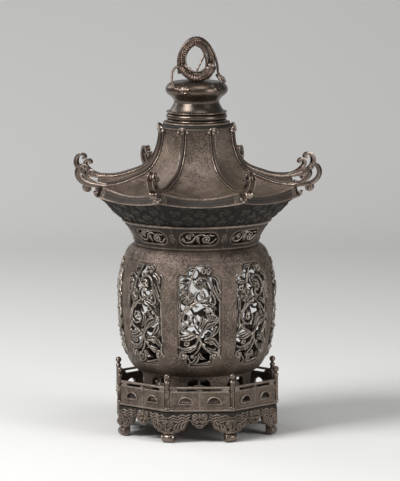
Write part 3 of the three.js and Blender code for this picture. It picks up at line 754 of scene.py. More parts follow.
def cast_skin_group() -> bpy.types.NodeTree:
    """The sand-cast skin: fine grain with small pits, as a height.

    Returns:
        bpy.types.NodeTree: group with input Grain (features per metre) and output Height.
    """
    tree, graph, given, result = new_group(
        "cast_skin", [("Grain", "NodeSocketFloat", 700.0)], [("Height", "NodeSocketFloat")])
    where = graph.add("ShaderNodeTexCoord").outputs["Object"]
    grain = graph.add("ShaderNodeTexNoise", Vector=where, Scale=given.outputs["Grain"], Detail=3.0, Roughness=0.6)
    pits = graph.add("ShaderNodeTexVoronoi", _feature="SMOOTH_F1", Vector=where,
                     Scale=graph.math("MULTIPLY", given.outputs["Grain"], 0.85), Smoothness=0.4)
    swell = graph.add("ShaderNodeTexNoise", Vector=where,
                      Scale=graph.math("MULTIPLY", given.outputs["Grain"], 0.14), Detail=2.0)
    fine = graph.math("ADD", grain.outputs[0], graph.math("MULTIPLY", pits.outputs["Distance"], 0.7))
    tree.links.new(graph.math("ADD", fine, swell.outputs[0]), result.inputs["Height"])
    return tree


def patina_group() -> bpy.types.NodeTree:
    """Uneven patina: cloudy patches of two colours broken up by fine speckle, with broad stains of a third.

    Returns:
        bpy.types.NodeTree: group with inputs Body, Shade, Tint, outputs Color and Mask.
    """
    grey = (0.1, 0.1, 0.1, 1)
    tree, graph, given, result = new_group(
        "patina", [(label, "NodeSocketColor", grey) for label in ("Body", "Shade", "Tint")],
        [("Color", "NodeSocketColor"), ("Mask", "NodeSocketFloat")])
    where = graph.add("ShaderNodeTexCoord").outputs["Object"]
    cloud = graph.add("ShaderNodeTexNoise", Vector=where, Scale=34.0, Detail=5.0, Roughness=0.62, Distortion=0.6)
    speckle = graph.add("ShaderNodeTexNoise", Vector=where, Scale=460.0, Detail=3.0, Roughness=0.7)
    stain = graph.add("ShaderNodeTexNoise", Vector=where, Scale=11.0, Detail=4.0, Roughness=0.55, Distortion=0.4)
    patches = graph.range(cloud.outputs[0], 0.40, 0.62)
    dots = graph.range(speckle.outputs[0], 0.42, 0.58)
    mask = graph.math("ADD", graph.math("MULTIPLY", patches, 0.5), graph.math("MULTIPLY", dots, 0.5))
    mottled = graph.mix(mask, given.outputs["Shade"], given.outputs["Body"])
    stained = graph.mix(graph.range(stain.outputs[0], 0.50, 0.68, 0.0, 0.7), mottled, given.outputs["Tint"])
    tree.links.new(stained, result.inputs["Color"])
    tree.links.new(mask, result.inputs["Mask"])
    return tree


def wear_sheen_shade_group() -> bpy.types.NodeTree:
    """Light edges from wear and painted highlight, and hollows and low relief darkened by grime and painted shade,
    from the points' wear and lift.

    Returns:
        bpy.types.NodeTree: group with input Amount and two masks as outputs, one for the light edges and one for
            the darkened hollows.
    """
    tree, graph, given, result = new_group(
        "wear_sheen_shade", [("Amount", "NodeSocketFloat", 0.8)],
        [("Rubbed", "NodeSocketFloat"), ("Dirt", "NodeSocketFloat")])
    where = graph.add("ShaderNodeTexCoord").outputs["Object"]
    wear = graph.add("ShaderNodeAttribute", _attribute_name="wear").outputs["Fac"]
    lift = graph.add("ShaderNodeAttribute", _attribute_name="lift").outputs["Fac"]
    uneven = graph.add("ShaderNodeTexNoise", Vector=where, Scale=90.0, Detail=4.0, Roughness=0.6)
    patchy = graph.range(uneven.outputs[0], 0.30, 0.64, 0.25, 1.0)
    edges = graph.math("MULTIPLY", graph.range(wear, 0.06, 0.60), lift)
    # Raised, convex points go light: wear on the edges, and a painted highlight on the crests.
    rubbed_sheen = graph.math("MULTIPLY", graph.math("MULTIPLY", edges, patchy), given.outputs["Amount"], clamp=True)
    # Hollows by curvature and points of low lift darken: painted shade, with some grime in the recesses.
    hollows = graph.range(wear, -0.08, -0.55)
    low = graph.range(lift, 0.45, 0.0)
    tree.links.new(rubbed_sheen, result.inputs["Rubbed"])
    tree.links.new(graph.math("MAXIMUM", hollows, low), result.inputs["Dirt"])
    return tree


# Shares of the shared effects in every finish, the bump's height in metres, and the grain's fineness
SHADE_GRIME_COVER = 0.88
SHADE_GRIME_ROUGH = 0.3
SHADE_GRIME_DULL = 0.5
RUB_SMOOTH = 0.16
TINT_ROUGH = 0.1
BUMP_GAIN = 4
BUMP_HEIGHT = 0.0004
GRAIN = 800.0


def bronze_material(name: str, finish: BronzeFinish, groups: dict[str, bpy.types.NodeTree]) -> bpy.types.Material:
    """Patinated bronze: mottled body, hollows darkened by grime and painted shade, edges lightened by wear and
    painted highlight, fine cast grain.

    Args:
        name: the material's name.
        finish: the finish's colours and amounts.
        groups: the shared effects by name.

    Returns:
        bpy.types.Material: the material.
    """
    material = bpy.data.materials.new(name)
    material.use_nodes = True
    tree = material.node_tree
    tree.nodes.clear()
    graph = Graph(tree)
    patina = graph.add("ShaderNodeGroup", _node_tree=groups["patina"], Body=finish.body, Shade=finish.shade,
                       Tint=finish.tint)
    wear = graph.add("ShaderNodeGroup", _node_tree=groups["wear_sheen_shade"], Amount=finish.rub_sheen)
    skin = graph.add("ShaderNodeGroup", _node_tree=groups["cast_skin"], Grain=GRAIN)
    # Darkening toward the hollows' colour: painted shade, with some grime.
    shaded_grimed = graph.mix(graph.math("MULTIPLY", wear.outputs["Dirt"], SHADE_GRIME_COVER), patina.outputs["Color"],
                      finish.shade_grime)
    # Lightening toward the edge colour: wear, and a painted highlight.
    colour = graph.mix(wear.outputs["Rubbed"], shaded_grimed, finish.rubbed_sheen)
    rough = graph.math("ADD", finish.roughness, graph.math("MULTIPLY", wear.outputs["Dirt"], SHADE_GRIME_ROUGH))
    rough = graph.math("SUBTRACT", rough, graph.math("MULTIPLY", wear.outputs["Rubbed"], RUB_SMOOTH))
    rough = graph.math("ADD", rough, graph.math("MULTIPLY", patina.outputs["Mask"], TINT_ROUGH), clamp=True)
    dull = graph.math("MULTIPLY", wear.outputs["Dirt"], SHADE_GRIME_DULL)
    metal = graph.math("SUBTRACT", finish.metallic, dull, clamp=True)
    bump = graph.add("ShaderNodeBump", Strength=finish.stipple * BUMP_GAIN, Distance=BUMP_HEIGHT,
                     Height=skin.outputs["Height"])
    shader = graph.add("ShaderNodeBsdfPrincipled", Base_Color=colour, Roughness=rough, Metallic=metal,
                       Normal=bump.outputs["Normal"])
    shader.inputs["Specular IOR Level"].default_value = 0.5
    output = graph.add("ShaderNodeOutputMaterial")
    tree.links.new(shader.outputs["BSDF"], output.inputs["Surface"])
    return material


def make_materials() -> dict[Finish, bpy.types.Material]:
    """All finishes, from one set of shared effects."""
    groups = {"patina": patina_group(), "wear_sheen_shade": wear_sheen_shade_group(), "cast_skin": cast_skin_group()}
    return {kind: bronze_material(kind.value, finish, groups) for kind, finish in FINISHES.items()}


# Pierced round walls


@dataclass
class PiercedWall:
    """A round wall with one opening in each of its eight sides.

    A side is a ring of rows from the opening's outline out to the side's edge. In sheet coordinates
    X = x / (radius * sin 22.5) and Z = height from the opening's centre, a row is the outline moved
    toward the side's rectangle by a share t, so its first row is the outline itself.
    """

    bottom: float
    top: float
    wall: float
    radius: Callable[[Array], Array]
    half_outline: Array
    relief: Callable[[Array, Array, Array], tuple[Array, Array]]
    rows: int = 24
    spacing: float = 1.0
    inner_rows: int = 3
    edge_drop: float = 0.35

    @property
    def middle(self) -> float:
        """Height of the opening's middle."""
        return (self.half_outline[:, 1].max() + self.half_outline[:, 1].min()) / 2

    def _sheet(self) -> tuple[Array, Array]:
        """The outline and its place on the side's rectangle, both in sheet coordinates, in steps of spacing.

        Returns:
            tuple[Array, Array]: the outline on the sheet, and where it stands across the side.
        """
        half, middle = self.half_outline, self.middle
        across = half[:, 0] / (self.radius(half[:, 1]) * math.sin(HALF))
        rise = half[:, 1] - middle
        up = np.where(rise > 0, rise / (self.top - middle), rise / (middle - self.bottom))
        outer = np.stack([across, up], axis=1) / np.maximum(np.abs(across), np.abs(up))[:, None]
        size = np.array([self.radius(np.array(middle)) * math.sin(HALF), (self.top - self.bottom) / 2])
        step = np.maximum(np.linalg.norm(np.diff(half, axis=0), axis=1),
                          np.linalg.norm(np.diff(outer, axis=0) * size, axis=1))
        along = np.concatenate([[0.0], np.cumsum(step)])
        at = np.linspace(0, along[-1], int(along[-1] / self.spacing) + 1)
        across, up = np.interp(at, along, across), np.interp(at, along, up)
        inner = np.stack([across, up], axis=1)
        outer = inner / np.maximum(np.abs(across), np.abs(up))[:, None]
        for sign in (1, -1):
            near = np.argmin(np.abs(across - sign * up) + 10 * (sign * up < 0))
            outer[near] = (1, sign)
        return mirror_outline(inner), mirror_outline(outer)

    def _place(self, sheet: Array, rise: Array | float, depth: float = 0.0) -> Array:
        """Points in space of sheet points, at a height over the wall or a depth into it.

        Args:
            sheet: points of the sheet.
            rise: height over the wall at each point.
            depth: how far into the wall they lie.

        Returns:
            Array: points in space.
        """
        reach = np.where(sheet[..., 1] > 0, self.top - self.middle, self.middle - self.bottom)
        z = self.middle + sheet[..., 1] * reach
        angle = np.arcsin(np.clip(sheet[..., 0] * math.sin(HALF), -1, 1))
        return swung(self.radius(z) - depth + rise, angle, z)

    def side(self) -> Skin:
        """One side of the wall.

        Returns:
            Skin: front, back, the opening's reveal, and the wall's upper and lower edges.
        """
        inner, outer = self._sheet()
        share = np.linspace(0, 1, self.rows)[:, None, None]
        front_sheet = inner[None] + share * (outer - inner)[None]
        flat = self._place(front_sheet, 0.0)
        outline = self._place(inner, 0.0)
        away = np.linalg.norm(flat[:, :, None, ::2] - outline[None, None, :, ::2], axis=-1).min(axis=2)
        rise, lift = self.relief(flat[..., 0], flat[..., 2], away)
        rise = rise - self.edge_drop * np.exp(-away / 0.35)
        front = self._place(front_sheet, rise)
        back_share = np.linspace(1, 0, self.inner_rows)[:, None, None]
        back = self._place(inner[None] + back_share * (outer - inner)[None], 0.0, self.wall)
        reveal = np.stack([back[-1], back[-1] * 0.35 + front[0] * 0.65, front[0]])
        skins = [
            lattice(front, lift, close_columns=True),
            lattice(back, 0.3, close_columns=True),
            lattice(reveal, 0.6, close_columns=True),
        ]
        edge = np.stack([front[-1], back[0]])
        strip = lattice(edge, 1.0, close_columns=True)
        level = np.abs(outer[:, 1]) > 1 - 1e-9
        both = level & np.roll(level, -1)
        skins.append(Skin(strip.points, strip.faces[both], strip.lift))
        return joined(skins)


def from_edge(x: Array, radius: Array) -> tuple[Array, Array]:
    """Place on a round wall of points at distances across a side.

    Args:
        x: distance across the side.
        radius: the wall's radius at each point.

    Returns:
        tuple: angle from the side's middle, and arc length from the side's nearer edge.
    """
    angle = np.arcsin(np.clip(x / radius, -1, 1))
    return angle, (angle - np.sign(x) * HALF) * radius


def walled(points: Array, radius: Callable[[Array], Array]) -> Array:
    """Lays flat points (across, depth over the wall, height) on a round wall.

    Args:
        points: points of a flat drawing.
        radius: the wall's radius by height.

    Returns:
        Array: the points in space, round the face toward -Y.
    """
    base = radius(points[..., 2])
    angle = np.arcsin(np.clip(points[..., 0] / base, -1, 1))
    return swung(base + points[..., 1], angle, points[..., 2])


SECTION_ACROSS = np.array([-1.0, -0.92, -0.7, -0.36, 0.0, 0.36, 0.7, 0.92, 1.0, 0.8, -0.8])
SECTION_FRONT = 9


def stroke_solid(one: Stroke, front: float, back: float, dome: float = 1.0) -> Skin:
    """A half-round bar drawn flat: depth = front + dome * half * (sqrt(1 - t^2) - 1) over the front, flat behind.

    Args:
        one: the stroke, across and up.
        front: depth of its crest.
        back: depth of its flat back.
        dome: how round its front is.

    Returns:
        Skin: points as (across, depth, height).
    """
    side = normals(one.line)
    ends = np.clip(np.minimum(np.arange(len(one.line)), np.arange(len(one.line))[::-1]) / 2.0, 0, 1) ** 0.5
    half = one.half * np.maximum(ends, 0.02)
    flat = one.line[:, None, :] + (half[:, None] * SECTION_ACROSS[None])[..., None] * side[:, None, :]
    round_off = np.sqrt(np.clip(1 - SECTION_ACROSS**2, 0, 1)) - 1
    depth = front + dome * half[:, None] * round_off[None]
    depth[:, SECTION_FRONT:] = back
    points = np.stack([flat[..., 0], np.maximum(depth, back), flat[..., 1]], axis=-1)
    return lattice(capped(points), close_columns=True)


def leaf_solid(spine: Sequence[Sequence[float]], width: float, front: float, back: float, ribs: float = 7.0,
               curl: float = 0.9, tip: float = 0.62, count: int = 26) -> Skin:
    """A leaf drawn flat: half width = width * sin(pi s^tip), its front rises toward a sunk midrib with ribs.

    Args:
        spine: points along the midrib, across and up.
        width: greatest half width.
        front: depth of its highest part.
        back: depth of its back.
        ribs: number of side ribs.
        curl: how far the blade drops from crest to edge and midrib.
        tip: below 1 the widest part sits nearer the stalk.
        count: points along the spine.

    Returns:
        Skin: points as (across, depth, height).
    """
    line = smooth_line(spine, count)
    side = normals(line)
    s = np.linspace(0, 1, count)
    half = width * np.sin(math.pi * s**tip) ** 0.8 + 0.05
    across = np.concatenate([np.linspace(-1, 1, 13), [0.85, -0.85]])
    flat = line[:, None, :] + (half[:, None] * across[None])[..., None] * side[:, None, :]
    blade = 1 - (2 * np.abs(across) - 1) ** 2
    rib = 0.16 * np.sin(2 * math.pi * (ribs * s[:, None] - 1.1 * np.abs(across)[None])) * (1 - across**2)[None]
    depth = front - curl * (1 - blade)[None] + rib * (half[:, None] / width)
    depth[:, 13:] = back
    points = np.stack([flat[..., 0], np.maximum(depth, back), flat[..., 1]], axis=-1)
    return lattice(capped(points), close_columns=True)


def bead_solid(x: float, z: float, radius: float, depth: float) -> Skin:
    """A round bud drawn flat, centred at a depth."""
    return ball((x, depth, z), radius, 8)


def rounded_corner(x: float, z: float, radius: float, start: float, end: float,
                   count: int = 8) -> list[list[float]]:
    """Points on an arc round (x, z), angles in degrees."""
    angle = np.radians(np.linspace(start, end, count))
    return np.stack([x + radius * np.cos(angle), z + radius * np.sin(angle)], axis=1).tolist()


@dataclass
class Vessel:
    """The barrel-shaped vessel: pierced foot ring, shell with bracket-shaped windows, grilles and flared neck."""

    base_radius: float = 66.0
    belly_radius: float = 93.7
    belly_height: float = 91.0
    waist_radius: float = 74.0
    lower_power: float = 2.2
    upper_power: float = 2.0
    wall: float = 2.8
    window_half_width: float = 26.0
    window_half_height: float = 60.5
    window_centre: float = 151.1
    window_lobe: float = 15.0
    window_shoulder: float = 11.0
    window_corner: float = 5.5
    rim_radius: float = 90.0
    rim_bead: float = 1.7
    cartouche: tuple[float, float, float] = (22.0, 7.5, 241.9)
    foot_radius: float = 64.0
    foot_arch: tuple[float, float, float] = (14.5, 22.5, 48.5)
    vine_front: float = 1.3
    vine_back: float = -2.6
    vine_bottom: float = 100.0
    vine_pitch: float = 17.0
    cloud_height: float = 219.6
    cloud_pitch: float = 15.1
    shoulder_radius: float = 77.0

    def build(self, maker: Maker) -> None:
        """Makes every piece of the vessel.

        Args:
            maker: what makes pieces out of skins.
        """
        maker.one("vessel_barrel", self.shell(), Body.VESSEL, Finish.PITTED, "vessel_shell")
        maker.eight("floral_grille", self.grille(), Body.VESSEL, Finish.VINE, "window_grille")
        maker.one("flared_neck", self.neck(), Body.VESSEL, Finish.PITTED, "vessel_neck")
        maker.eight("neck_scroll", self.neck_scroll(), Body.VESSEL, Finish.VINE, "cartouche_scroll")
        maker.one("foot_ring", self.foot(), Body.VESSEL, Finish.PITTED, "vessel_foot")

    def barrel_radius(self, height: Array) -> Array:
        """Outer radius: a superellipse quarter from base to belly and another from belly to waist.

        Args:
            height: heights in millimetres.

        Returns:
            Array: the radius at each.
        """
        above = np.asarray(height, float) - BARREL_BOTTOM - self.belly_height
        upper = BARREL_TOP - BARREL_BOTTOM - self.belly_height
        low = np.clip(-above / self.belly_height, 0, 1)
        high = np.clip(above / upper, 0, 1)
        lower = self.base_radius + (self.belly_radius - self.base_radius) * (
            1 - low**self.lower_power) ** (1 / self.lower_power)
        over = self.waist_radius + (self.belly_radius - self.waist_radius) * (
            1 - high**self.upper_power) ** (1 / self.upper_power)
        return np.where(above < 0, lower, over)

    def neck_radius(self, height: Array) -> Array:
        """Outer radius of the flared neck: waist + flare * share^1.35."""
        share = np.clip((np.asarray(height, float) - NECK_BOTTOM) / (RIM_TOP - NECK_BOTTOM), 0, 1)
        return self.waist_radius + (self.rim_radius - self.waist_radius) * share**1.35

    def foot_ring_radius(self, height: Array) -> Array:
        """Outer radius of the foot ring, a little wider toward the barrel."""
        share = (np.asarray(height, float) - DECK_TOP) / (BARREL_BOTTOM - DECK_TOP)
        return self.foot_radius + (self.base_radius - 0.5 - self.foot_radius) * share

    def window_half(self, inset: float = 0.0) -> Array:
        """Right half of the window's outline top to bottom: straight sides and a narrow lobe at each end.

        Args:
            inset: how far inside the window's edge.

        Returns:
            Array: points (x, height) from top to bottom.
        """
        side, end = self.window_half_width - inset, self.window_half_height - inset
        lobe, corner = self.window_lobe - inset, max(self.window_corner - inset, 1.0)
        shoulder = self.window_half_height - self.window_shoulder - inset
        upper = [[0.0, end], *rounded_corner(lobe - corner, end - corner, corner, 90, 0), [lobe, shoulder + 0.6],
                 [lobe + 0.6, shoulder], *rounded_corner(side - corner, shoulder - corner, corner, 90, 0)]
        outline = np.array(upper + [[x, -z] for x, z in reversed(upper)])
        return even_steps(outline + np.array([0.0, self.window_centre]), 400)

    def barrel_relief(self, x: Array, z: Array, away: Array) -> tuple[Array, Array]:
        """Relief over the barrel: a bead round each window, vines on the pilasters, clouds on the shoulder.

        Args:
            x: distance across the side.
            z: height.
            away: distance from the window's edge.

        Returns:
            tuple: rise over the wall and relief value.
        """
        angle, beside = from_edge(x, self.barrel_radius(z))
        strokes: list[Stroke] = []
        for k in range(7):
            level = self.vine_bottom + k * self.vine_pitch
            flip = -1 if k % 2 else 1
            strokes.append(stroke([(-flip * 1.5, level - 9), (flip * 3.4, level - 3), (flip * 1.0, level + 6)],
                                  0.9, 0.7))
            strokes.append(spiral(-flip * 2.2, level + 1.5, 3.6, 0.6, math.pi / 2, flip * 1.3, 0.8, 0.6))
            strokes.append(stroke([(flip * 3.0, level - 2), (flip * 6.2, level + 1), (flip * 6.6, level + 6)],
                                  0.8, 0.3, 1.3))
        vines = stroke_height(beside, z, strokes) * np.clip((away - 3.2) / 1.2, 0, 1)
        shoulder: list[Stroke] = []
        for k in range(-2, 3):
            for one in cloud_scroll(0.66, 1.3):
                shoulder.append(one.moved(k * self.cloud_pitch, self.cloud_height, 0.0, 1.0, k % 2 == 1))
        clouds = stroke_height(angle * self.shoulder_radius, z, shoulder) * np.clip((away - 3.0) / 1.0, 0, 1)
        bead = ridge(away, 2.0, 0.55)
        rings = ridge(z, 225.2, 0.7) + 0.7 * ridge(z, 213.4, 0.5) * (away > 3)
        rise = 0.62 * np.maximum(vines, clouds) + 0.35 * bead + 0.6 * rings
        lift = np.clip(0.42 + 0.58 * np.maximum.reduce([vines, clouds, 0.4 * bead, rings]), 0, 1)
        return rise, lift

    def shell(self) -> Skin:
        """The barrel with its eight windows, and the floor inside.

        Returns:
            Skin: the closed wall and floor.
        """
        wall = PiercedWall(BARREL_BOTTOM, BARREL_TOP, self.wall, self.barrel_radius, self.window_half(),
                           self.barrel_relief, rows=23, spacing=1.02)
        floor = np.array([[0, BARREL_BOTTOM], [self.base_radius - 1.5, BARREL_BOTTOM],
                          [self.base_radius - 1.5, BARREL_BOTTOM + 3], [0, BARREL_BOTTOM + 3]])
        return joined([around(wall.side()), turned_profile(floor, 96)])

    def vine_bars(self) -> list[Stroke]:
        """Stems, curls and tendrils of the grille.

        Returns:
            list[Stroke]: lines of (distance across, height over the window's centre).
        """
        return [
            stroke([(-8, 43), (-4.4, 36), (1.6, 33), (3.4, 38.4), (-0.4, 41)], 1.2, 0.9, 1.4, 30),
            stroke([(-3, 31), (-6.4, 26), (-4, 19.6), (2, 17)], 1.1, 0.9, 1.3),
            spiral(4.6, 53.4, 3.6, 0.9, 2.6, -1.2, 1.0, 0.7, 24),
            spiral(-20.2, 31.8, 3.2, 0.9, 0.2, 1.2, 1.0, 0.7, 24),
            stroke([(12, 30), (17, 24), (18.4, 16), (14, 11.4)], 1.1, 0.9, 1.3),
            spiral(10.4, 7.4, 3.4, 0.9, 1.4, 1.2, 1.0, 0.7, 24),
            stroke([(-22, 4), (-15.6, 6.4), (-9, 12.4), (-1, 12)], 1.0, 0.9, 1.3),
            spiral(14.6, -31.0, 3.6, 0.9, 2.0, 1.2, 1.0, 0.7, 24),
            spiral(-15.6, -32.6, 3.4, 0.9, 0.8, -1.2, 1.0, 0.7, 24),
            stroke([(-3.4, 60), (-8.6, 48), (-12.4, 38), (-14, 30)], 1.3, 1.5),
            stroke([(-14, 32), (-13.5, 20), (-18, 8), (-24.6, -6)], 1.2, 1.1),
            stroke([(-5, 41), (2, 46), (10, 43.5), (15, 34), (12, 24), (5, 21.6), (0.6, 26), (3, 30.5), (6.5, 28)],
                   1.6, 1.0, 1.7, 44),
            stroke([(11.6, 42), (16, 33), (20, 25), (25.4, 16)], 1.5, 1.2),
            stroke([(5, 20), (-6, 16), (-17, 8.4), (-23, -4), (-20, -14), (-9, -20), (-3, -24)], 1.4, 1.4, 1.6,
                   44),
            spiral(-10, -3.2, 10.4, 1.4, 2.2, 1.55, 1.35, 0.9, 52),
            stroke([(3, 14), (9.5, 10.5), (16.4, 3.4), (21.6, -2.6)], 1.2, 1.1),
            spiral(21.0, -5.0, 3.4, 1.4, 0.6, 1.2, 1.0, 0.8, 24),
            stroke([(20, -8), (13, -12), (5, -17), (0, -25), (3, -33), (9, -41), (14.6, -46)], 1.2, 1.2, 1.6, 40),
            stroke([(-1, -24), (-4, -33), (-12, -38), (-20, -39), (-25.5, -36)], 1.3, 1.0, 1.4),
            stroke([(2, -31), (-2, -41), (-8, -48)], 1.2, 1.0),
            spiral(-18.6, -48, 5.4, 1.2, 1.0, 1.4, 1.1, 0.8, 34),
            spiral(18, -47.6, 4.8, 1.2, 2.4, -1.35, 1.1, 0.8, 32),
            stroke([(-2.6, -58.6), (5, -57.4), (13.6, -54.6)], 1.3, 1.0, 1.5),
            stroke([(-24, 44), (-20.4, 47.4), (-15, 45)], 1.0, 1.3),
            stroke([(25.4, 28), (22, 34), (20.6, 42), (15, 47.6)], 1.0, 1.2),
            stroke([(-25.4, -20), (-21, -23.4), (-13, -22), (-6, -22)], 1.2, 1.2, 1.7),
            stroke([(25.6, -52), (22.4, -44), (24.6, -34)], 1.0, 1.2),
            stroke([(-12, -60), (-11, -55), (-14, -50)], 1.1, 1.0),
        ]

    def vine_leaves(self) -> list[Skin]:
        """Leaves, the blossom's four petals and the round buds of the grille.

        Returns:
            list[Skin]: points as (across, depth, height over the window's centre).
        """
        front, back = self.vine_front, self.vine_back
        leaves = [
            ([(-4, 57), (-9, 57.4), (-15.4, 52.8)], 3.0), ([(8, 58), (11.4, 54), (10.6, 49)], 3.0),
            ([(13, 49), (19.6, 45.6), (24, 37)], 3.6), ([(16, 38), (19, 29), (24.6, 21)], 3.2),
            ([(-4, 38), (3, 38.6), (8.6, 32.4)], 4.6), ([(-24.6, 38), (-19, 40), (-13.6, 36)], 3.0),
            ([(5, 17), (12, 15.6), (22, 7)], 3.0), ([(3.8, 1.6), (2, -8), (-3.4, -18)], 3.2),
            ([(18, -4.6), (8, -9), (1.6, -21)], 5.2), ([(22, -11), (18, -19), (11.6, -26)], 4.0),
            ([(-4, -22), (-14, -27), (-25, -27)], 4.2), ([(-3, -35), (-12, -41.6), (-23, -41)], 3.0),
            ([(5, -29), (16, -29.6), (24.8, -40)], 5.4), ([(8, -38), (15, -41), (20, -38)], 2.8),
            ([(-2, -48), (-6, -56), (-13, -56)], 4.4), ([(-1, -44), (2, -50), (8, -52)], 3.2),
            ([(-16, -10), (-21, -14), (-25, -21)], 2.6), ([(-23, 22), (-24.4, 10), (-20.6, 1)], 2.4),
            ([(8, 4), (12, -1), (18, -3)], 2.6),
        ]
        skins = [leaf_solid(spine, 0.84 * width, front + 0.6, back, 3 + 0.5 * width, 1.7)
                 for spine, width in leaves]
        for x, z, size in ((-19.2, 25.4, 5.8), (-9.2, 24.0, 6.0), (-14.4, 17.6, 5.2), (-14.6, 29.4, 4.6)):
            petal = [(-14.2, 23.2), ((x - 14.2) / 2, (z + 23.2) / 2), (x + (x + 14.2) * 0.5, z + (z - 23.2) * 0.5)]
            skins.append(leaf_solid(petal, size, front + 1.0, back, 4, 1.3, 1.5, 20))
        return skins + [bead_solid(x, z, size, front - 0.6) for x, z, size in (
            (-14.2, 23.2, 2.2), (10.4, 51.4, 2.4), (21.0, -5.0, 1.5), (-18.6, -48, 1.6), (18, -47.6, 1.6),
            (-9.9, -3.4, 1.7), (3.4, 28.4, 1.5), (16, 2, 1.8), (-3, -24, 2.4), (-8.4, -49, 2.6), (5.4, -34, 1.8))]

    def grille_frame(self) -> Skin:
        """The thin frame that lines the window.

        Returns:
            Skin: points as (across, depth, height over the window's centre).
        """
        back = self.vine_back
        outer, inner = (mirror_outline(self.window_half(inset))[::3] for inset in (0.4, 2.2))
        ring = [np.stack([loop[:, 0], np.full(len(loop), depth), loop[:, 1] - self.window_centre], axis=-1)
                for loop, depth in ((outer, back), (outer, -1.7), (outer * 0.5 + inner * 0.5, -1.4), (inner, -1.8),
                                    (inner, back))]
        return lattice(np.stack(ring), close_rows=True, close_columns=True)

    def grille(self) -> Skin:
        """Openwork of one window: a climbing vine with curled leaves, a blossom, rings and buds.

        Returns:
            Skin: the openwork on the face toward -Y, bent onto the barrel.
        """
        skins = [stroke_solid(one, self.vine_front, self.vine_back, 1.15) for one in self.vine_bars()]
        skins += [*self.vine_leaves(), self.grille_frame()]
        shift = np.array([0.0, 0.0, self.window_centre])
        flat = joined(skins)
        swell = 0.5 * np.sin(flat.points[:, 0] * 0.21 + 1) * np.sin(flat.points[:, 2] * 0.13)
        flat.points[:, 1] += np.where(flat.points[:, 1] > -1.5, swell, 0)
        limit = self.window_half_height - 0.6
        flat.points[:, 2] = np.clip(flat.points[:, 2], -limit, limit)
        flat.points[:, 0] = np.clip(flat.points[:, 0], 0.4 - self.window_half_width, self.window_half_width - 0.4)
        return flat.mapped(lambda p: walled(p + shift, self.barrel_radius))

    def cartouche_half(self) -> Array:
        """Right half of the cartouche's outline: straight long edges and round ends.

        Returns:
            Array: points (x, height) from top to bottom.
        """
        w, h, centre = self.cartouche
        outline = np.array([[0.0, h], *rounded_corner(w - h, 0, h, 90, -90, 17), [0.0, -h]])
        return even_steps(outline + np.array([0.0, centre]), 240)

    def neck_relief(self, x: Array, z: Array, away: Array) -> tuple[Array, Array]:
        """A raised edge round each cartouche, small clouds between them and a line over the waist.

        Args:
            x: distance across the side.
            z: height.
            away: distance from the opening.

        Returns:
            tuple[Array, Array]: rise over the wall and lift of each point.
        """
        _, beside = from_edge(x, self.neck_radius(z))
        clouds = [one.moved(0, self.cartouche[2], math.pi / 2) for one in cloud_scroll(0.78, 1.2)]
        pattern = stroke_height(beside, z, clouds) * np.clip((away - 2.6) / 0.8, 0, 1)
        bead = ridge(away, 1.3, 0.6)
        waist = ridge(z, 228.2, 0.8)
        rise = 0.7 * bead + 0.45 * pattern + 0.7 * waist
        return rise, np.clip(0.05 + 0.95 * np.maximum.reduce([bead, 0.4 * pattern, waist]), 0, 1)

    def neck(self) -> Skin:
        """The flared neck with its eight cartouches and the round bead of the rim.

        Returns:
            Skin: the closed neck.
        """
        top = RIM_TOP - 2 * self.rim_bead
        wall = PiercedWall(NECK_BOTTOM, top, self.wall, self.neck_radius, self.cartouche_half(), self.neck_relief,
                           rows=15, spacing=0.95)
        inside = self.rim_radius - self.rim_bead - 2.6
        bead_angle = np.radians(np.linspace(-90, 90, 11))
        bead = np.stack([self.rim_radius - self.rim_bead + self.rim_bead * 1.1 * np.cos(bead_angle),
                         RIM_TOP - self.rim_bead + self.rim_bead * np.sin(bead_angle)], axis=1)
        profile = np.vstack([bead, [[inside, RIM_TOP], [inside - 0.6, RIM_TOP - 2 * self.rim_bead - 0.4]]])
        return joined([around(wall.side()), turned_profile(profile, 192)])

    def neck_scroll(self) -> Skin:
        """The coiled scroll that spans a cartouche: a long S with a coil at the right and leaves at the left.

        Returns:
            Skin: the scroll on the face toward -Y, bent onto the neck.
        """
        width, height, centre = self.cartouche
        strokes = [
            stroke([(-width + 0.6, -1), (-15, -4.8), (-8.4, -3.4), (-4, 2.6), (2, 5.4), (8, 3.6)], 1.0, 1.2, 1.5,
                   40),
            spiral(7.6, -0.8, 5.2, 0.9, 1.6, -1.7, 1.3, 0.9, 44),
            stroke([(10, -5.6), (15, -5), (width - 0.8, 0.6)], 1.1, 0.9, 1.3),
            spiral(-13.6, 2.2, 3.4, 0.8, -1.4, 1.2, 1.0, 0.7, 30),
            stroke([(12, 5.6), (15.6, 3.6), (18.6, 4.6)], 0.9, 0.7, 1.2),
        ]
        skins = [stroke_solid(one, 0.2, -2.0, 1.1) for one in strokes]
        skins += [leaf_solid([(-6, 4), (-9.4, 6), (-13.4, 6.4)], 1.8, 0.5, -2.0, 4),
                  leaf_solid([(-1, 3.4), (-1.6, -1.6), (1.4, -6.2)], 1.9, 0.5, -2.0, 4),
                  leaf_solid([(-17, -3.6), (-19.4, 0), (-18.4, 3.6)], 1.6, 0.5, -2.0, 4),
                  bead_solid(7.6, -0.8, 1.3, -0.4), bead_solid(-13.6, 2.2, 1.1, -0.4)]
        limit = height - 0.35
        flat = joined(skins)
        flat.points[:, 2] = np.clip(flat.points[:, 2], -limit, limit)
        return flat.mapped(lambda p: walled(p + np.array([0.0, -0.6, centre]), self.neck_radius))

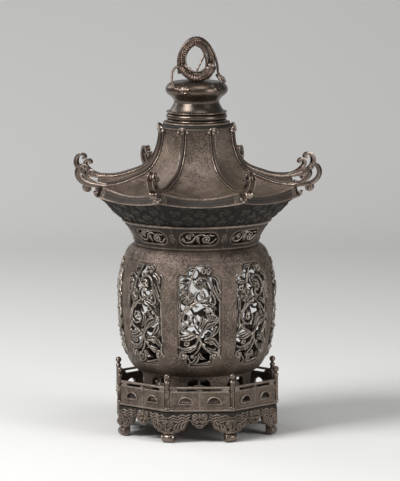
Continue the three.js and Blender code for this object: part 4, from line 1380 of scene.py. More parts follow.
    def foot_half(self) -> Array:
        """Right half of a foot-ring opening: nearly flat at the top, round at the shoulder, over a flat sill.

        Returns:
            Array: points (x, height) from top to bottom.
        """
        width, height, sill = self.foot_arch
        shape = smooth_line([(0, 1.0), (0.5, 0.98), (0.8, 0.92), (0.96, 0.72), (1, 0.4), (0.94, 0)], 80)
        return even_steps(np.vstack([shape * (width, height), [[0.0, 0.0]]]) + np.array([0.0, sill]), 240)

    def foot_relief(self, x: Array, z: Array, away: Array) -> tuple[Array, Array]:
        """A thin raised edge round each opening and a fillet at the foot.

        Args:
            x: distance across the side, not used here.
            z: height.
            away: distance from the opening.

        Returns:
            tuple[Array, Array]: rise over the wall and lift of each point.
        """
        bead = ridge(away, 1.1, 0.5)
        fillet = ridge(z, DECK_TOP + 2.2, 1.0)
        return 0.6 * bead + 0.9 * fillet, np.clip(0.6 + 0.4 * np.maximum(bead, fillet), 0, 1)

    def foot(self) -> Skin:
        """The foot ring with its ogee openings, each with a hanging scroll.

        Returns:
            Skin: the closed ring with its hanging scrolls.
        """
        wall = PiercedWall(DECK_TOP + GAP, BARREL_BOTTOM - GAP, 3.0, self.foot_ring_radius, self.foot_half(),
                           self.foot_relief, rows=12, spacing=1.1)
        _, height, sill = self.foot_arch
        strokes = [
            stroke([(0, height), (0.4, height * 0.6), (-0.2, 4), (0, -0.4)], 1.7, 1.2, 1.0),
            spiral(-3.3, height * 0.56, 3.2, 0.7, 0.0, 1.25, 1.0, 0.7, 26),
            spiral(3.3, height * 0.56, 3.2, 0.7, math.pi, -1.25, 1.0, 0.7, 26),
            spiral(-2.6, 3.0, 2.4, 0.6, 0.2, -1.1, 0.9, 0.6, 22),
            spiral(2.6, 3.0, 2.4, 0.6, math.pi - 0.2, 1.1, 0.9, 0.6, 22),
        ]
        ornament = joined([stroke_solid(one, 0.0, -2.2, 1.0) for one in strokes])
        shift = np.array([0.0, -0.3, sill])
        side = joined([wall.side(), ornament.mapped(lambda p: walled(p + shift, self.foot_ring_radius))])
        return around(side)


@dataclass
class AshPan:
    """The loose pan on the vessel's floor."""

    radius: float = 56.0
    foot_radius: float = 46.0
    height: float = 25.0
    wall: float = 2.2

    def build(self, maker: Maker) -> None:
        """Makes the pan: a turned bowl with a rolled lip and two turned lines inside.

        Args:
            maker: what makes pieces out of skins.
        """
        low = BARREL_BOTTOM + 3.3
        top = low + self.height
        outer = smooth_line([(self.foot_radius, low), (self.foot_radius + 3, low + 1.6),
                             (self.radius - 2.4, top - 3.4), (self.radius - 0.6, top - 1.6)], 30)
        lip = np.array(rounded_corner(self.radius - 1.3, top - 1.3, 1.3, -20, 200, 9))
        inner = smooth_line([(self.radius - self.wall - 1.4, top - 4),
                             (self.foot_radius + 1, low + self.wall + 1.6),
                             (self.foot_radius - 3, low + self.wall)], 26)
        floor = np.stack([np.linspace(self.foot_radius - 4, 0, 40), np.full(40, low + self.wall)], axis=1)
        floor[:, 1] += 0.35 * (ridge(floor[:, 0], 30, 0.8) + ridge(floor[:, 0], 27.4, 0.8))
        profile = np.vstack([[[0.0, low]], outer, lip, inner, floor])
        maker.one("ash_bowl", turned_profile(profile, 128), Body.PAN, Finish.FIRED, "ash_pan")


# Eight-sided surfaces, flat plates and bars in a radial plane


def octagonal(radius: Array, height: Array, angle: Array, flat: Array | float = 1.0, out: Array | float = 0.0,
              up: Array | float = 0.0) -> Array:
    """Points of an eight-sided surface. With a = tan(angle from the face's middle) / tan(22.5 degrees), the
    corner radius grows by out * a^2 and the height by up * a^2; flat goes from 0, round, to 1, straight-sided.

    Args:
        radius: corner radius.
        height: height over the ground.
        angle: angle from the face toward -Y.
        flat: share of the straight side.
        out: how far the corners reach out.
        up: how far the corners rise.

    Returns:
        Array: the points, in the shape that the inputs broadcast to.
    """
    off = angle - np.round(angle / TURN) * TURN
    across = np.tan(off) / math.tan(HALF)
    reach = (radius + out * across**2) * (1 - flat + flat * OCT / np.cos(off))
    return swung(reach, angle, height + up * across**2)


def face_columns(count: int) -> Array:
    """Angles of columns all round: evenly spread over each straight side, with one at each corner."""
    across = np.linspace(-1, 1, count + 1)[:-1]
    return (np.arange(SIDES)[:, None] * TURN + np.arctan(across * math.tan(HALF))[None]).ravel()


def slab(outline: Array, half_width: float, bevel: float) -> Skin:
    """A closed outline of a radial plane given a width: four rows across, the end rows drawn in by the bevel.

    Args:
        outline: closed loop of (radius, height), anticlockwise.
        half_width: half of its width.
        bevel: size of its rounded edge.

    Returns:
        Skin: the closed slab, toward -Y.
    """
    drawn_in = outline + bevel * normals(outline, closed=True)
    centre = np.repeat(outline.mean(axis=0)[None], len(outline), axis=0)
    rows = [(centre, -half_width), (drawn_in, -half_width), (outline, bevel - half_width),
            (outline, half_width - bevel), (drawn_in, half_width), (centre, half_width)]
    return lattice(np.stack([radial(loop, x) for loop, x in rows]), close_columns=True)


def loop_band(outline: Array, profile: Sequence[tuple[float, float]]) -> Skin:
    """A moulding that follows a closed flat outline: each profile point is (distance outside it, depth).

    Args:
        outline: closed loop of (across, height), anticlockwise.
        profile: closed loop of offsets and depths.

    Returns:
        Skin: points as (across, depth, height).
    """
    outward = -normals(outline, closed=True)
    rows = [np.insert(outline + away * outward, 1, depth, axis=1) for away, depth in profile]
    return lattice(np.stack(rows), close_rows=True, close_columns=True)


def pierced_plate(outline: Array, low: Sequence[float], high: Sequence[float], front: float, back: float,
                  rows: int, relief: Callable[[Array, Array], Array]) -> Skin:
    """A flat plate with one opening: rows run from the opening's outline to the plate's edge.

    Args:
        outline: closed loop of (across, height) round the plate's opening.
        low: lower left corner.
        high: upper right corner.
        front: depth of its front.
        back: depth of its back.
        rows: rows from the opening to the edge.
        relief: rise over the front by across and height.

    Returns:
        Skin: front, back, reveal and edge, points as (across, depth, height).
    """
    centre = outline.mean(axis=0)
    away = outline - centre
    room = np.where(away > 0, np.asarray(high) - centre, centre - np.asarray(low))
    edge = centre + away / (np.abs(away) / room).max(axis=1)[:, None]
    for x in (low[0], high[0]):
        for z in (low[1], high[1]):
            edge[np.argmin(np.linalg.norm(edge - (x, z), axis=1))] = (x, z)
    share = np.linspace(0, 1, rows)[:, None, None]
    sheet = outline[None] + share * (edge - outline)[None]
    rise = relief(sheet[..., 0], sheet[..., 1])
    face = np.stack([sheet[..., 0], front + rise, sheet[..., 1]], axis=-1)
    behind = np.insert(np.stack([edge, outline]), 1, back, axis=2)
    lift = np.concatenate([np.clip(0.62 + 0.5 * rise, 0, 1), np.full((2, len(outline)), 0.4)])
    return lattice(np.concatenate([face, behind]), lift, close_rows=True, close_columns=True)


def on_face(apothem: float) -> Callable[[Array], Array]:
    """Lays points (across, depth, height) on the flat face toward -Y at a distance from the axis."""
    return lambda p: np.stack([p[..., 0], -(apothem + p[..., 1]), p[..., 2]], axis=-1)


@dataclass
class Stand:
    """The eight-sided stand: moulded deck, apron of carved lappets, rolled feet and a balustrade."""

    apron_corner: float = 102.0
    apron_wall: float = 3.5
    deck_corner: float = 103.5
    seat_inner: float = 57.7
    seat_outer: float = 60.7
    seat_height: float = 3.0
    foot_roll: float = 5.2
    foot_back: float = 94.85
    foot_width: float = 14.8
    post_corner: float = 101.0
    post_radius: float = 2.8
    post_height: float = 34.5
    ball_radius: float = 3.6
    panel_top: float = 60.7
    panel_thickness: float = 3.0
    rail_height: float = 66.0
    rail_radius: float = 1.55
    arch: tuple[float, float, float, float] = (17.0, 47.3, 7.8, 7.0)
    wave_pitch: float = 3.1

    def build(self, maker: Maker) -> None:
        """Makes every piece of the stand.

        Args:
            maker: what makes pieces out of skins.
        """
        corner = math.pi / 2 + HALF
        maker.one("moulded_deck", self.deck(), Body.STAND, Finish.PITTED, "stand_deck")
        maker.one("carved_apron", self.apron(), Body.STAND, Finish.PITTED, "stand_apron")
        maker.eight("rolled_foot", self.foot(), Body.STAND, Finish.WARM, "stand_foot", corner)
        maker.eight("ball_post", self.post(), Body.STAND, Finish.WARM, "rail_post", corner)
        maker.eight("pierced_rail", self.panel(), Body.STAND, Finish.PITTED, "rail_panel")

    def deck(self) -> Skin:
        """The deck: a profile of (corner radius, height, share of straight side) carried round the octagon.

        Returns:
            Skin: the closed deck with the vessel's seat.
        """
        edge, low, top, seat = self.deck_corner, DECK_BOTTOM, DECK_TOP, DECK_TOP + self.seat_height
        rows = np.array([
            (0, low, 1), (60, low, 1), (edge - 4.2, low, 1), (edge - 2.6, low + 0.2, 1),
            (edge - 2.0, low + 0.8, 1), (edge - 1.5, low + 1.1, 1), (edge - 0.5, low + 1.4, 1),
            (edge - 0.1, low + 2.0, 1), (edge, low + 2.7, 1), (edge - 0.2, top - 0.6, 1),
            (edge - 0.9, top - 0.1, 1), (edge - 2.0, top, 1), (edge - 20, top, 1), (76, top, 0.6), (66, top, 0),
            (self.seat_outer, top, 0), (self.seat_outer, seat - 0.4, 0), (self.seat_outer - 0.5, seat, 0),
            (self.seat_inner + 0.5, seat, 0), (self.seat_inner, seat - 0.4, 0), (self.seat_inner, top, 0),
            (0, top, 0)])
        points = octagonal(rows[:, :1], rows[:, 1:2], face_columns(24)[None], rows[:, 2:])
        return lattice(points, close_columns=True)

    def lappet_edge(self, across: Array) -> Array:
        """Height of the apron's lower edge: a small lappet at the middle and a large one round each corner.

        Args:
            across: distance from the face's middle.

        Returns:
            Array: the edge's height at each.
        """
        knots = np.array([(0, 17.5), (2.5, 17.7), (4.5, 18.5), (5.6, 20.3), (7.4, 21.6), (9.2, 22.8), (10.4, 25.0),
                          (11.8, 26.5), (13.4, 25.8), (14.8, 23.6), (16, 19.6), (17.6, 17.2), (19.6, 15.9),
                          (22.9, 14.9), (25.3, 12.9), (30.7, 12.1), (39.1, 12.0)])
        curve = smooth_line(knots, 400)
        return np.interp(np.abs(across), curve[:, 0], curve[:, 1])

    def apron_strokes(self) -> list[Stroke]:
        """Right half of one face: wavy bands, running lines and curls on the large lappet, rings on the small.

        Returns:
            list[Stroke]: lines of (distance across, height).
        """
        wave = ((12.0, 34.4), (16.4, 32.2), (21, 33.8), (26, 31.0), (31, 32.6), (36, 30.0), (41, 30.6))
        strokes = [stroke([(x, z - self.wave_pitch * k) for x, z in wave], 0.75, 0.75, 1.05, 40, 0.9)
                   for k in range(3)]
        for x, z in ((14.4, 28.6), (18.6, 25.8), (23.0, 23.8), (27.4, 22.4)):
            strokes.append(stroke([(x, z), (x + 2.6, z - 3.6), (x + 3.2, z - 7.2), (x + 6.4, z - 11.4)], 0.9,
                                  0.5, 1.1, 26, 0.85))
        strokes += [
            spiral(34.6, 20.4, 3.7, 0.7, 2.6, -1.5, 0.95, 0.8, 34),
            spiral(29.8, 15.8, 2.3, 0.6, 0.4, 1.3, 0.8, 0.6, 24),
            spiral(36.8, 14.8, 1.9, 0.5, 2.0, -1.2, 0.75, 0.6, 24),
            stroke([(41, 24.6), (37.0, 25.6), (33.0, 25.0), (30.4, 27.4)], 0.8, 0.5, 1.1, 20, 0.9),
            spiral(5.6, 31.2, 3.0, 2.9, 0.0, 1.0, 0.85, 0.85, 28),
            spiral(5.6, 31.2, 1.2, 0.4, 0.0, 0.9, 0.8, 0.8, 12),
            spiral(2.9, 24.6, 2.1, 0.5, 2.9, -1.3, 0.75, 0.6, 24),
            spiral(6.8, 25.4, 1.8, 0.5, 0.4, 1.2, 0.7, 0.6, 20),
            stroke([(0, 34.8), (0.2, 31.6), (-0.2, 28.0)], 0.9, 0.9, 1.1, 12, 0.9),
            stroke([(0, 21.4), (2.4, 20.4), (4.6, 21.8)], 0.7, 0.5, 0.8, 14, 0.8),
        ]
        return strokes

    def apron(self) -> Skin:
        """The apron: on each face rows run from the lappets' edge to the top, and the relief rises off the face.

        Returns:
            Skin: the closed skirt, all eight faces.
        """
        apothem = self.apron_corner * OCT
        reach = self.apron_corner * math.sin(HALF)
        across = np.linspace(-1, 1, 101)[None] * reach
        low = self.lappet_edge(across)
        rows = 34
        share = np.linspace(0, 1, rows)[:, None]
        z = low + share * (APRON_TOP - low)
        x = np.broadcast_to(across, z.shape)
        right = self.apron_strokes()
        tall = stroke_height(np.abs(x), z, right)
        edge_away = np.hypot(x[..., None] - across[0, ::2], z[..., None] - low[0, ::2]).min(axis=2)
        bead = ridge(edge_away, 1.0, 0.6)
        keep = smoothstep(edge_away, 1.2, 2.0) * smoothstep(APRON_TOP - z, 0.2, 1.0)
        rise = np.maximum(1.5 * tall * keep, 0.8 * bead) - 0.55 * np.exp(-edge_away / 0.4) - 0.35
        lift = np.clip(np.maximum(tall * keep, bead), 0, 1)
        front = np.stack([x, rise, z], axis=-1)
        inner_z = low + np.linspace(1, 0, 5)[:, None] * (APRON_TOP - low)
        back = np.stack(np.broadcast_arrays(across, -self.apron_wall, inner_z), axis=-1)
        points = np.concatenate([front, back])
        lifts = np.concatenate([lift, np.full(inner_z.shape, 0.3)])
        out = apothem + points[..., 1]
        points = np.stack([points[..., 0] * out / apothem, -out, points[..., 2]], axis=-1)
        return around(lattice(points, lifts, close_rows=True))

    def foot(self) -> Skin:
        """A foot: a leg behind the apron that ends in a thick roll under a thinner one.

        Returns:
            Skin: the foot on the side toward -Y.
        """
        back, roll = self.foot_back, self.foot_roll
        leg = even_steps(np.array([[back, 0.6], [back, DECK_BOTTOM - GAP], [back - 5, DECK_BOTTOM - GAP],
                                   [back - 5, 0.6], [back, 0.6]]), 41)[:-1]
        toe = np.array([back + 1, roll]) + roll * circle(36)
        upper = np.array([back + 1.2, 2 * roll + 1.0]) + 1.7 * circle(36)
        curl = smooth_line([(back + 1.0, 2 * roll - 0.4), (back + 4.9, roll + 1.6), (back + 3.4, roll - 3.0),
                            (back - 1.4, roll - 2.4), (back - 1.8, roll + 1.6), (back + 1.4, roll + 2.0)], 36)
        half = self.foot_width / 2
        lip = np.array([(-0.45, -1), (-0.45, 1), (0.45, 1), (0.45, -1)], float) * np.array([1.0, half])
        scroll = tube(radial(curl), 1.0, lip, (1, 0, 0))
        return joined([slab(leg, half * 0.8, 0.7), slab(toe, half - 0.35, 1.0), slab(upper, half - 0.9, 0.5),
                       scroll])

    def post(self) -> Skin:
        """A turned post: stepped base, plain shaft with two lines, a collar, a neck and a ball.

        Returns:
            Skin: the post on the side toward -Y.
        """
        base, r = DECK_TOP + GAP, self.post_radius
        top = base + self.post_height
        profile = [(0, base), (r + 0.7, base), (r + 0.8, base + 1.0), (r + 0.3, base + 1.8), (r - 0.1, base + 2.4),
                   (r - 0.1, base + 13), (r - 0.35, base + 13.4), (r - 0.1, base + 13.8), (r - 0.1, base + 22),
                   (r - 0.35, base + 22.4), (r - 0.1, base + 22.8), (r - 0.1, top - 4.2), (r + 0.3, top - 3.4),
                   (r + 0.6, top - 2.6), (r + 0.6, top - 1.8), (r - 0.2, top - 1.0), (r - 0.9, top - 0.2),
                   (r - 1.1, top + 0.6)]
        centre = top + self.ball_radius + 0.6
        angle = np.radians(np.linspace(-62, 90, 14))
        bulb = np.stack([np.cos(angle), np.sin(angle)], axis=1) * self.ball_radius + np.array([0, centre])
        bulb[-1, 0] = 0
        skin = turned_profile(np.vstack([profile, bulb]), 24)
        return skin.mapped(lambda p: p + np.array([0.0, -self.post_corner, 0.0]))

    def arch_outline(self) -> Array:
        """The half-round opening of the right half of a panel: a flat sill under half an ellipse.

        Returns:
            Array: closed loop of (x, height).
        """
        x, sill, half, height = self.arch
        angle = np.linspace(0, math.pi, 40)
        bow = np.stack([half * np.cos(angle), height * np.sin(angle)], axis=1)
        base = np.stack([np.linspace(-half, half, 20)[1:-1], np.zeros(18)], axis=1)
        return even_steps(np.vstack([bow, base, bow[:1]]), 73)[:-1] + np.array([x, sill])

    def plate_relief(self, x: Array, z: Array) -> Array:
        """Rise of the plate: a line at its foot and one up its middle, and a groove under its top."""
        foot, groove = DECK_TOP + GAP + 1.3, self.panel_top - 3.4
        return 0.35 * ridge(z, foot, 0.6) - 0.25 * ridge(z, groove, 0.5) + 0.3 * ridge(x, 0, 0.7)

    def panel(self) -> Skin:
        """A balustrade panel: a plate with two rimmed openings, a strip, a hand rail on curls and a bud.

        Returns:
            Skin: the panel on the face toward -Y.
        """
        apothem = self.post_corner * OCT
        half = self.post_corner * math.sin(HALF) - self.post_radius - 0.3
        front, back = self.panel_thickness / 2, -self.panel_thickness / 2
        base, top = DECK_TOP + GAP, self.panel_top
        arch = self.arch_outline()
        plate = pierced_plate(arch, (0.01, base), (half, top), front, back, 14, self.plate_relief)
        rim = loop_band(arch, ((0.0, 0.6), (0.0, front + 1.3), (0.45, front + 1.75), (1.0, front + 1.6),
                               (1.35, front + 1.0), (1.35, 0.6)))
        knots = [(x, 0.3, top) for x in (2.2, 16, half - 6, half - 0.8)]
        strip = round_tube(np.array(knots, float), 1.1, (0, 1, 0), 12)
        middle = top + (self.rail_height - top) / 2
        curls = [
            spiral(half - 2.6, middle, 2.2, 0.6, math.pi / 2, 1.25, 0.8, 0.6, 24),
            spiral(half - 7.4, middle - 0.3, 1.9, 0.5, math.pi / 2, -1.2, 0.75, 0.5, 24),
        ]
        right = joined([plate, rim, strip] + [stroke_solid(one, 1.2, -1.2, 1.0) for one in curls])
        mirror = np.array([-1.0, 1.0, 1.0])
        length = np.stack(np.broadcast_arrays(np.linspace(-half, half, 30), 0.0, self.rail_height), axis=1)
        rail = round_tube(length, self.rail_radius, (0, 1, 0), 14)
        bud = [leaf_solid([(0, top - 1.6), (0, middle), (0, self.rail_height - 0.6)], 1.7, 2.2, -1.2, 3)]
        for side in (-1, 1):
            spine = [(side * 0.4, top - 1.2), (side * 2.6, middle - 0.6), (side * 3.4, self.rail_height - 1.6)]
            bud.append(leaf_solid(spine, 1.2, 1.7, -1.0, 3))
        bud.append(bead_solid(0, top - 1.0, 1.6, 0.6))
        whole = joined([right, right.mapped(lambda p: p * mirror), rail, *bud])
        return whole.mapped(on_face(apothem))


@dataclass
class Roof:
    """The eight-sided roof: concave panels over a band, a carved soffit, a collar, and scrolled hips."""

    top_corner: float = 45.5
    eave_corner: float = 131.0
    band_width: float = 9.0
    sweep_power: float = 2.2
    wall: float = 2.6
    hole: float = 6.3
    band_shift: float = 5.5
    band_rise: float = 9.0
    rise_reach: float = 44.0
    corner_lift: float = 5.0
    curl_reach: float = 27.05
    curl_height: float = 24.0
    scroll_width: float = 8.6
    soffit_pitch: float = 28.0
    scale_row: float = 3.3
    scale_width: float = 5.2
    scale_rise: float = 0.42
    columns: int = 60

    def build(self, maker: Maker) -> None:
        """Makes every piece of the roof.

        Args:
            maker: what makes pieces out of skins.
        """
        maker.one("swept_roof", self.shell(), Body.LID, Finish.PITTED, "roof_shell")
        # Soffit and collar: the near-black finish paints their shade.
        maker.one("carved_soffit", self.soffit(), Body.LID, Finish.SHADOWED, "roof_soffit")
        maker.one("stepped_collar", self.collar(), Body.LID, Finish.SHADOWED, "roof_collar")
        maker.eight("scrolled_hip", self.hip(), Body.LID, Finish.WARM, "hip_ridge", math.pi / 2 + HALF)

    @property
    def crease_corner(self) -> float:
        """Corner radius of the crease between the panels and the band."""
        return self.eave_corner - self.band_width / OCT

    def sweep(self, count: int) -> Array:
        """Corner profile of the panels from the crease up: a superellipse quarter, at even steps.

        Args:
            count: how many points.

        Returns:
            Array: points (corner radius, height).
        """
        angle = np.linspace(0, math.pi / 2, 1200)
        inward, left = np.sin(angle) ** (2 / self.sweep_power), np.cos(angle) ** (2 / self.sweep_power)
        radius = self.crease_corner - inward * (self.crease_corner - self.top_corner)
        return even_steps(np.stack([radius, CREASE + (1 - left) * (ROOF_TOP - CREASE)], axis=1), count)

    def corner_shift(self, radius: Array) -> tuple[Array, Array]:
        """How far the corners reach out and rise at a radius: most at the crease, then only up to the eave.

        Args:
            radius: corner radius of each point.

        Returns:
            tuple[Array, Array]: reach outward and rise at the corner.
        """
        in_band = np.clip((radius - self.crease_corner) / (self.eave_corner - self.crease_corner), 0, 1)
        near = smoothstep(radius, self.crease_corner - 14, self.crease_corner - 1)
        start = self.band_rise * smoothstep(radius, self.top_corner, self.top_corner + self.rise_reach)
        return self.band_shift * near * (1 - in_band), start + (self.corner_lift - start) * in_band

    def panel_relief(self, across: Array, along: Array) -> Array:
        """Rise of the panels: rows of small scales that fade upward, worn folds over the crease, a raised border.

        Args:
            across: distance from the face's middle.
            along: distance up the slope from the crease.

        Returns:
            Array: rise over the plain surface.
        """
        row = along / self.scale_row
        brick = across / self.scale_width + 0.5 * np.floor(row)
        scale = np.sin(math.pi * (row - np.floor(row))) ** 0.7 * np.abs(np.sin(math.pi * brick)) ** 0.6
        fade = smoothstep(along, 2.5, 6.0) * (1 - smoothstep(along, 30, 62))
        folds = [stroke([(-38, 5.2), (-28, 7.6), (-20, 5.4), (-10, 8.2), (-2, 6.0), (6, 8.4)], 1.3, 0.5, 1.2, 40,
                        1.0),
                 stroke([(-16, 10.4), (-6, 12.2), (6, 10.2), (18, 12.0)], 1.1, 0.4, 1.0, 30, 0.8),
                 stroke([(4, 4.6), (16, 6.6), (28, 4.8), (40, 6.4)], 1.0, 0.4, 1.1, 30, 0.8)]
        swell = 0.10 * np.sin(across * 0.23 + 1.3) * np.sin(along * 0.19)
        scales = self.scale_rise * scale * fade
        return scales - 0.5 * stroke_height(across, along, folds) + swell + 0.55 * ridge(along, 0.6, 0.7)

    def band_relief(self, across: Array, down: Array, width: float) -> Array:
        """Rise of the band: beads along both edges, a sunk field with two fine lines, a double strip at each end.

        Args:
            across: distance from the face's middle.
            down: distance below the crease.
            width: half of the band's length.

        Returns:
            Array: height over the band.
        """
        sunk = smoothstep(down, 1.4, 2.2) * (1 - smoothstep(down, width - 2.6, width - 1.8))
        lines = 0.16 * ridge(down, 4.4, 0.4) + 0.16 * ridge(down, width - 4.2, 0.4)
        strips = ridge(np.abs(across), 40.6, 0.8) + ridge(np.abs(across), 43.6, 0.8)
        edges = 0.35 * ridge(down, 0.8, 0.7) + 0.3 * ridge(down, width - 1.0, 0.8)
        return edges + (lines - 0.5 + 0.5 * np.clip(strips, 0, 1)) * sunk

    def shell_flat(self, line: Array) -> Array:
        """Share of straight side of a profile (radius, height): round at the finial's hole, then straight."""
        return np.clip((line[:, :1] - self.hole) / (self.top_corner / 2), 0, 1)

    def shell(self) -> Skin:
        """Panels and band over an even wall, closed round the finial's hole.

        Returns:
            Skin: the closed shell.
        """
        rows = 84
        up = self.sweep(rows)
        across = np.linspace(-1, 1, self.columns + 1)[:-1]
        angle = face_columns(self.columns)[None]
        sheet = np.tile(across, SIDES)[None]
        face_half = math.sin(HALF)
        along = running_length(up)[:, None]
        band = np.linspace((self.eave_corner, EAVE_BOTTOM), (self.crease_corner, CREASE), 16)
        width = float(np.linalg.norm(band[-1] - band[0]))
        down = np.linspace(width, 0, 16)[:, None]
        band_rise = self.band_relief(sheet * band[:, :1] * face_half, down, width) - 0.35
        panel_rise = self.panel_relief(*np.broadcast_arrays(sheet * up[:, :1] * face_half, along)) - 0.3
        line = np.vstack([band[:-1], up])
        rise = np.vstack([band_rise[:-1], panel_rise])
        out = -normals(line)
        count = np.arange(len(line), dtype=float)[:, None]
        rim = smoothstep(count, 0, 2) * smoothstep(count[::-1], 0, 2)
        radius = line[:, :1] + rise * rim * out[:, :1]
        height = line[:, 1:] + rise * rim * out[:, 1:]
        shift_out, shift_up = self.corner_shift(line[:, :1])
        front = octagonal(radius, height, angle, self.shell_flat(line), shift_out, shift_up)
        inside = self.sweep(30) + self.wall * normals(self.sweep(30))
        inside = np.vstack([inside[:-1], [[inside[-1, 0], ROOF_TOP - self.wall]]])
        rest = np.vstack([[[self.hole, ROOF_TOP], [self.hole, ROOF_TOP - self.wall]], inside[::-1],
                          [[self.eave_corner - self.wall * 1.1, EAVE_BOTTOM]]])
        rest_out, rest_up = self.corner_shift(rest[:, :1])
        behind = octagonal(rest[:, :1], rest[:, 1:], angle, self.shell_flat(rest), rest_out, rest_up)
        panel_lift = 0.55 + 1.1 * (panel_rise + 0.3)
        # The band's sunk field gets a low lift, so the hollows' mask darkens it: painted shade.
        band_lift = 0.46 + 0.9 * (band_rise + 0.35)
        lift = np.clip(np.vstack([band_lift[:-1], panel_lift]), 0, 1)
        lift = np.concatenate([lift, np.full(behind.shape[:2], 0.2)])
        return lattice(np.concatenate([front, behind]), lift, close_rows=True, close_columns=True)

    def soffit_flat(self, line: Array) -> Array:
        """Share of straight side of a profile (radius, height): round at the ring, straight at the eave."""
        return smoothstep(line[:, :1], 92, 121.8)

    def soffit(self) -> Skin:
        """The carved cone under the eave, its relief cloud heads and round bosses in rows, and the locating ring.

        Returns:
            Skin: the closed cone and ring.
        """
        cone = smooth_line([(89, 258.3), (95, 261.8), (110.5, 271.9), (120.8, 279.6), (127.6, 284.1)], 46)
        along = running_length(cone)[:, None]
        count = 72
        angle = face_columns(count)[None]
        across = np.tile(np.linspace(-1, 1, count + 1)[:-1], SIDES)[None] * 42.0
        strokes: list[Stroke] = []
        for row, level in enumerate((7.0, 17.0, 27.5, 38.0)):
            for k in range(3):
                x = (k - 1) * self.soffit_pitch + (self.soffit_pitch / 2 if row % 2 else 0.0)
                for one in cloud_scroll(0.95, 1.5):
                    strokes.append(one.moved(x, level, 0.0, 1.0, (row + k) % 2 == 1))
                strokes.append(spiral(x + self.soffit_pitch / 2, level - 1.5, 2.0, 1.9, 0.0, 1.0, 1.0, 1.0, 18))
        tall = stroke_height(*np.broadcast_arrays(across, along), strokes)
        tall *= smoothstep(along, 0.5, 2.0) * (1 - smoothstep(along, along[-1, 0] - 2.5, along[-1, 0] - 1.0))
        border = ridge(along, along[-1, 0] - 1.6, 0.9)
        rise = np.maximum(1.9 * tall, 1.2 * border) - 1.3
        rise = rise * smoothstep(along, 0.0, 1.0) * (1 - smoothstep(along, along[-1, 0] - 0.6, along[-1, 0]))
        out = -normals(cone)
        radius, height = cone[:, :1] + rise * out[:, :1], cone[:, 1:] + rise * out[:, 1:]
        flat = self.soffit_flat(cone)
        front = octagonal(radius, height, angle, flat, 0.0, self.corner_lift * flat)
        ring = np.array([(125.0, 284.1), (118.4, 281.4), (108.6, 274.1), (93.4, 264.1), (88.2, 260.9),
                         (78.7, 260.9), (78.7, 251.4), (79.1, 251.0), (80.9, 251.0), (81.3, 251.4),
                         (81.3, 257.8), (81.8, 258.3), (88.0, 258.3)])
        ring_flat = self.soffit_flat(ring)
        back = octagonal(ring[:, :1], ring[:, 1:], angle, ring_flat, 0.0, self.corner_lift * ring_flat)
        # The soffit's ground gets a low lift, so the hollows' mask darkens it further as painted shade; its crests
        # keep a high lift and go light as a painted highlight.
        lift = np.concatenate([np.clip(0.1 + 0.9 * np.maximum(tall, border + 0 * tall), 0, 1),
                               np.full(back.shape[:2], 0.3)])
        return lattice(np.concatenate([front, back]), lift, close_rows=True, close_columns=True)

    def collar(self) -> Skin:
        """The turned collar on the roof: a hollow slope, dark with painted shade, under a bead lightened by wear
        and a painted highlight.

        Returns:
            Skin: the closed collar.
        """
        low = COLLAR_BOTTOM
        slope = smooth_line([(44.4, low + 0.5), (43.6, low + 1.4), (41.2, low + 3.0), (40.0, low + 4.4)], 14)
        bead = np.array(rounded_corner(39.3, low + 5.7, 0.9, -60, 90, 9))
        rest = [(35.2, low + 6.6), (34.3, low + 6.2), (34.3, low + 3), (self.hole, low + 3), (self.hole, low),
                (43.9, low)]
        return turned_profile(np.vstack([slope, bead, rest]), 128)

    def curl_points(self, *places: tuple[float, float]) -> list[tuple[float, float]]:
        """Points of the corner scroll from shares of its reach and height.

        Args:
            places: (share of the reach, share of the height) of each point.

        Returns:
            list[tuple[float, float]]: (radius, height) of each.
        """
        foot_height = CREASE + self.band_rise + 0.4
        return [(self.eave_corner + out * self.curl_reach, foot_height + up * self.curl_height)
                for out, up in places]

    def hip_line(self) -> Array:
        """The hip's crest over the panels' corner, from the collar out to the scroll.

        Returns:
            Array: points (radius, height) from the collar outward.
        """
        panels = self.sweep(60)
        shift_out, shift_up = self.corner_shift(panels[:, 0])
        corner = panels + np.stack([shift_out, shift_up], axis=1)
        end = (self.eave_corner, CREASE + self.band_rise + 0.4)
        return smooth_line(np.vstack([corner[::-1][1:-4:3], end]), 90)

    def scroll_band(self, places: Sequence[tuple[float, float]], thick: Sequence[float], wide: Sequence[float],
                    count: int) -> Skin:
        """A band of the corner scroll, with raised edges: half thickness and width run through the given values.

        Args:
            places: points of its centre line as shares of the scroll's reach and height.
            thick: half thicknesses at even steps along it.
            wide: half widths at even steps along it.
            count: points along it.

        Returns:
            Skin: the closed band, toward -Y.
        """
        line = smooth_line(self.curl_points(*places), count)
        out = normals(line)
        at = np.linspace(0, 1, count)
        thickness = np.interp(at, np.linspace(0, 1, len(thick)), thick)[:, None]
        half = np.interp(at, np.linspace(0, 1, len(wide)), wide)[:, None]
        across = np.array([-1.0, -0.94, -0.78, -0.6, 0.0, 0.6, 0.78, 0.94, 1.0])
        face = np.array([0.5, 1.0, 1.0, 0.66, 0.55, 0.66, 1.0, 1.0, 0.5])
        across = np.concatenate([across, across[::-1]])
        face = np.concatenate([face, -face])
        flat = line[:, None, :] + (thickness * face)[..., None] * out[:, None, :]
        return lattice(capped(np.stack([half * across, -flat[..., 0], flat[..., 1]], axis=-1)), close_columns=True)

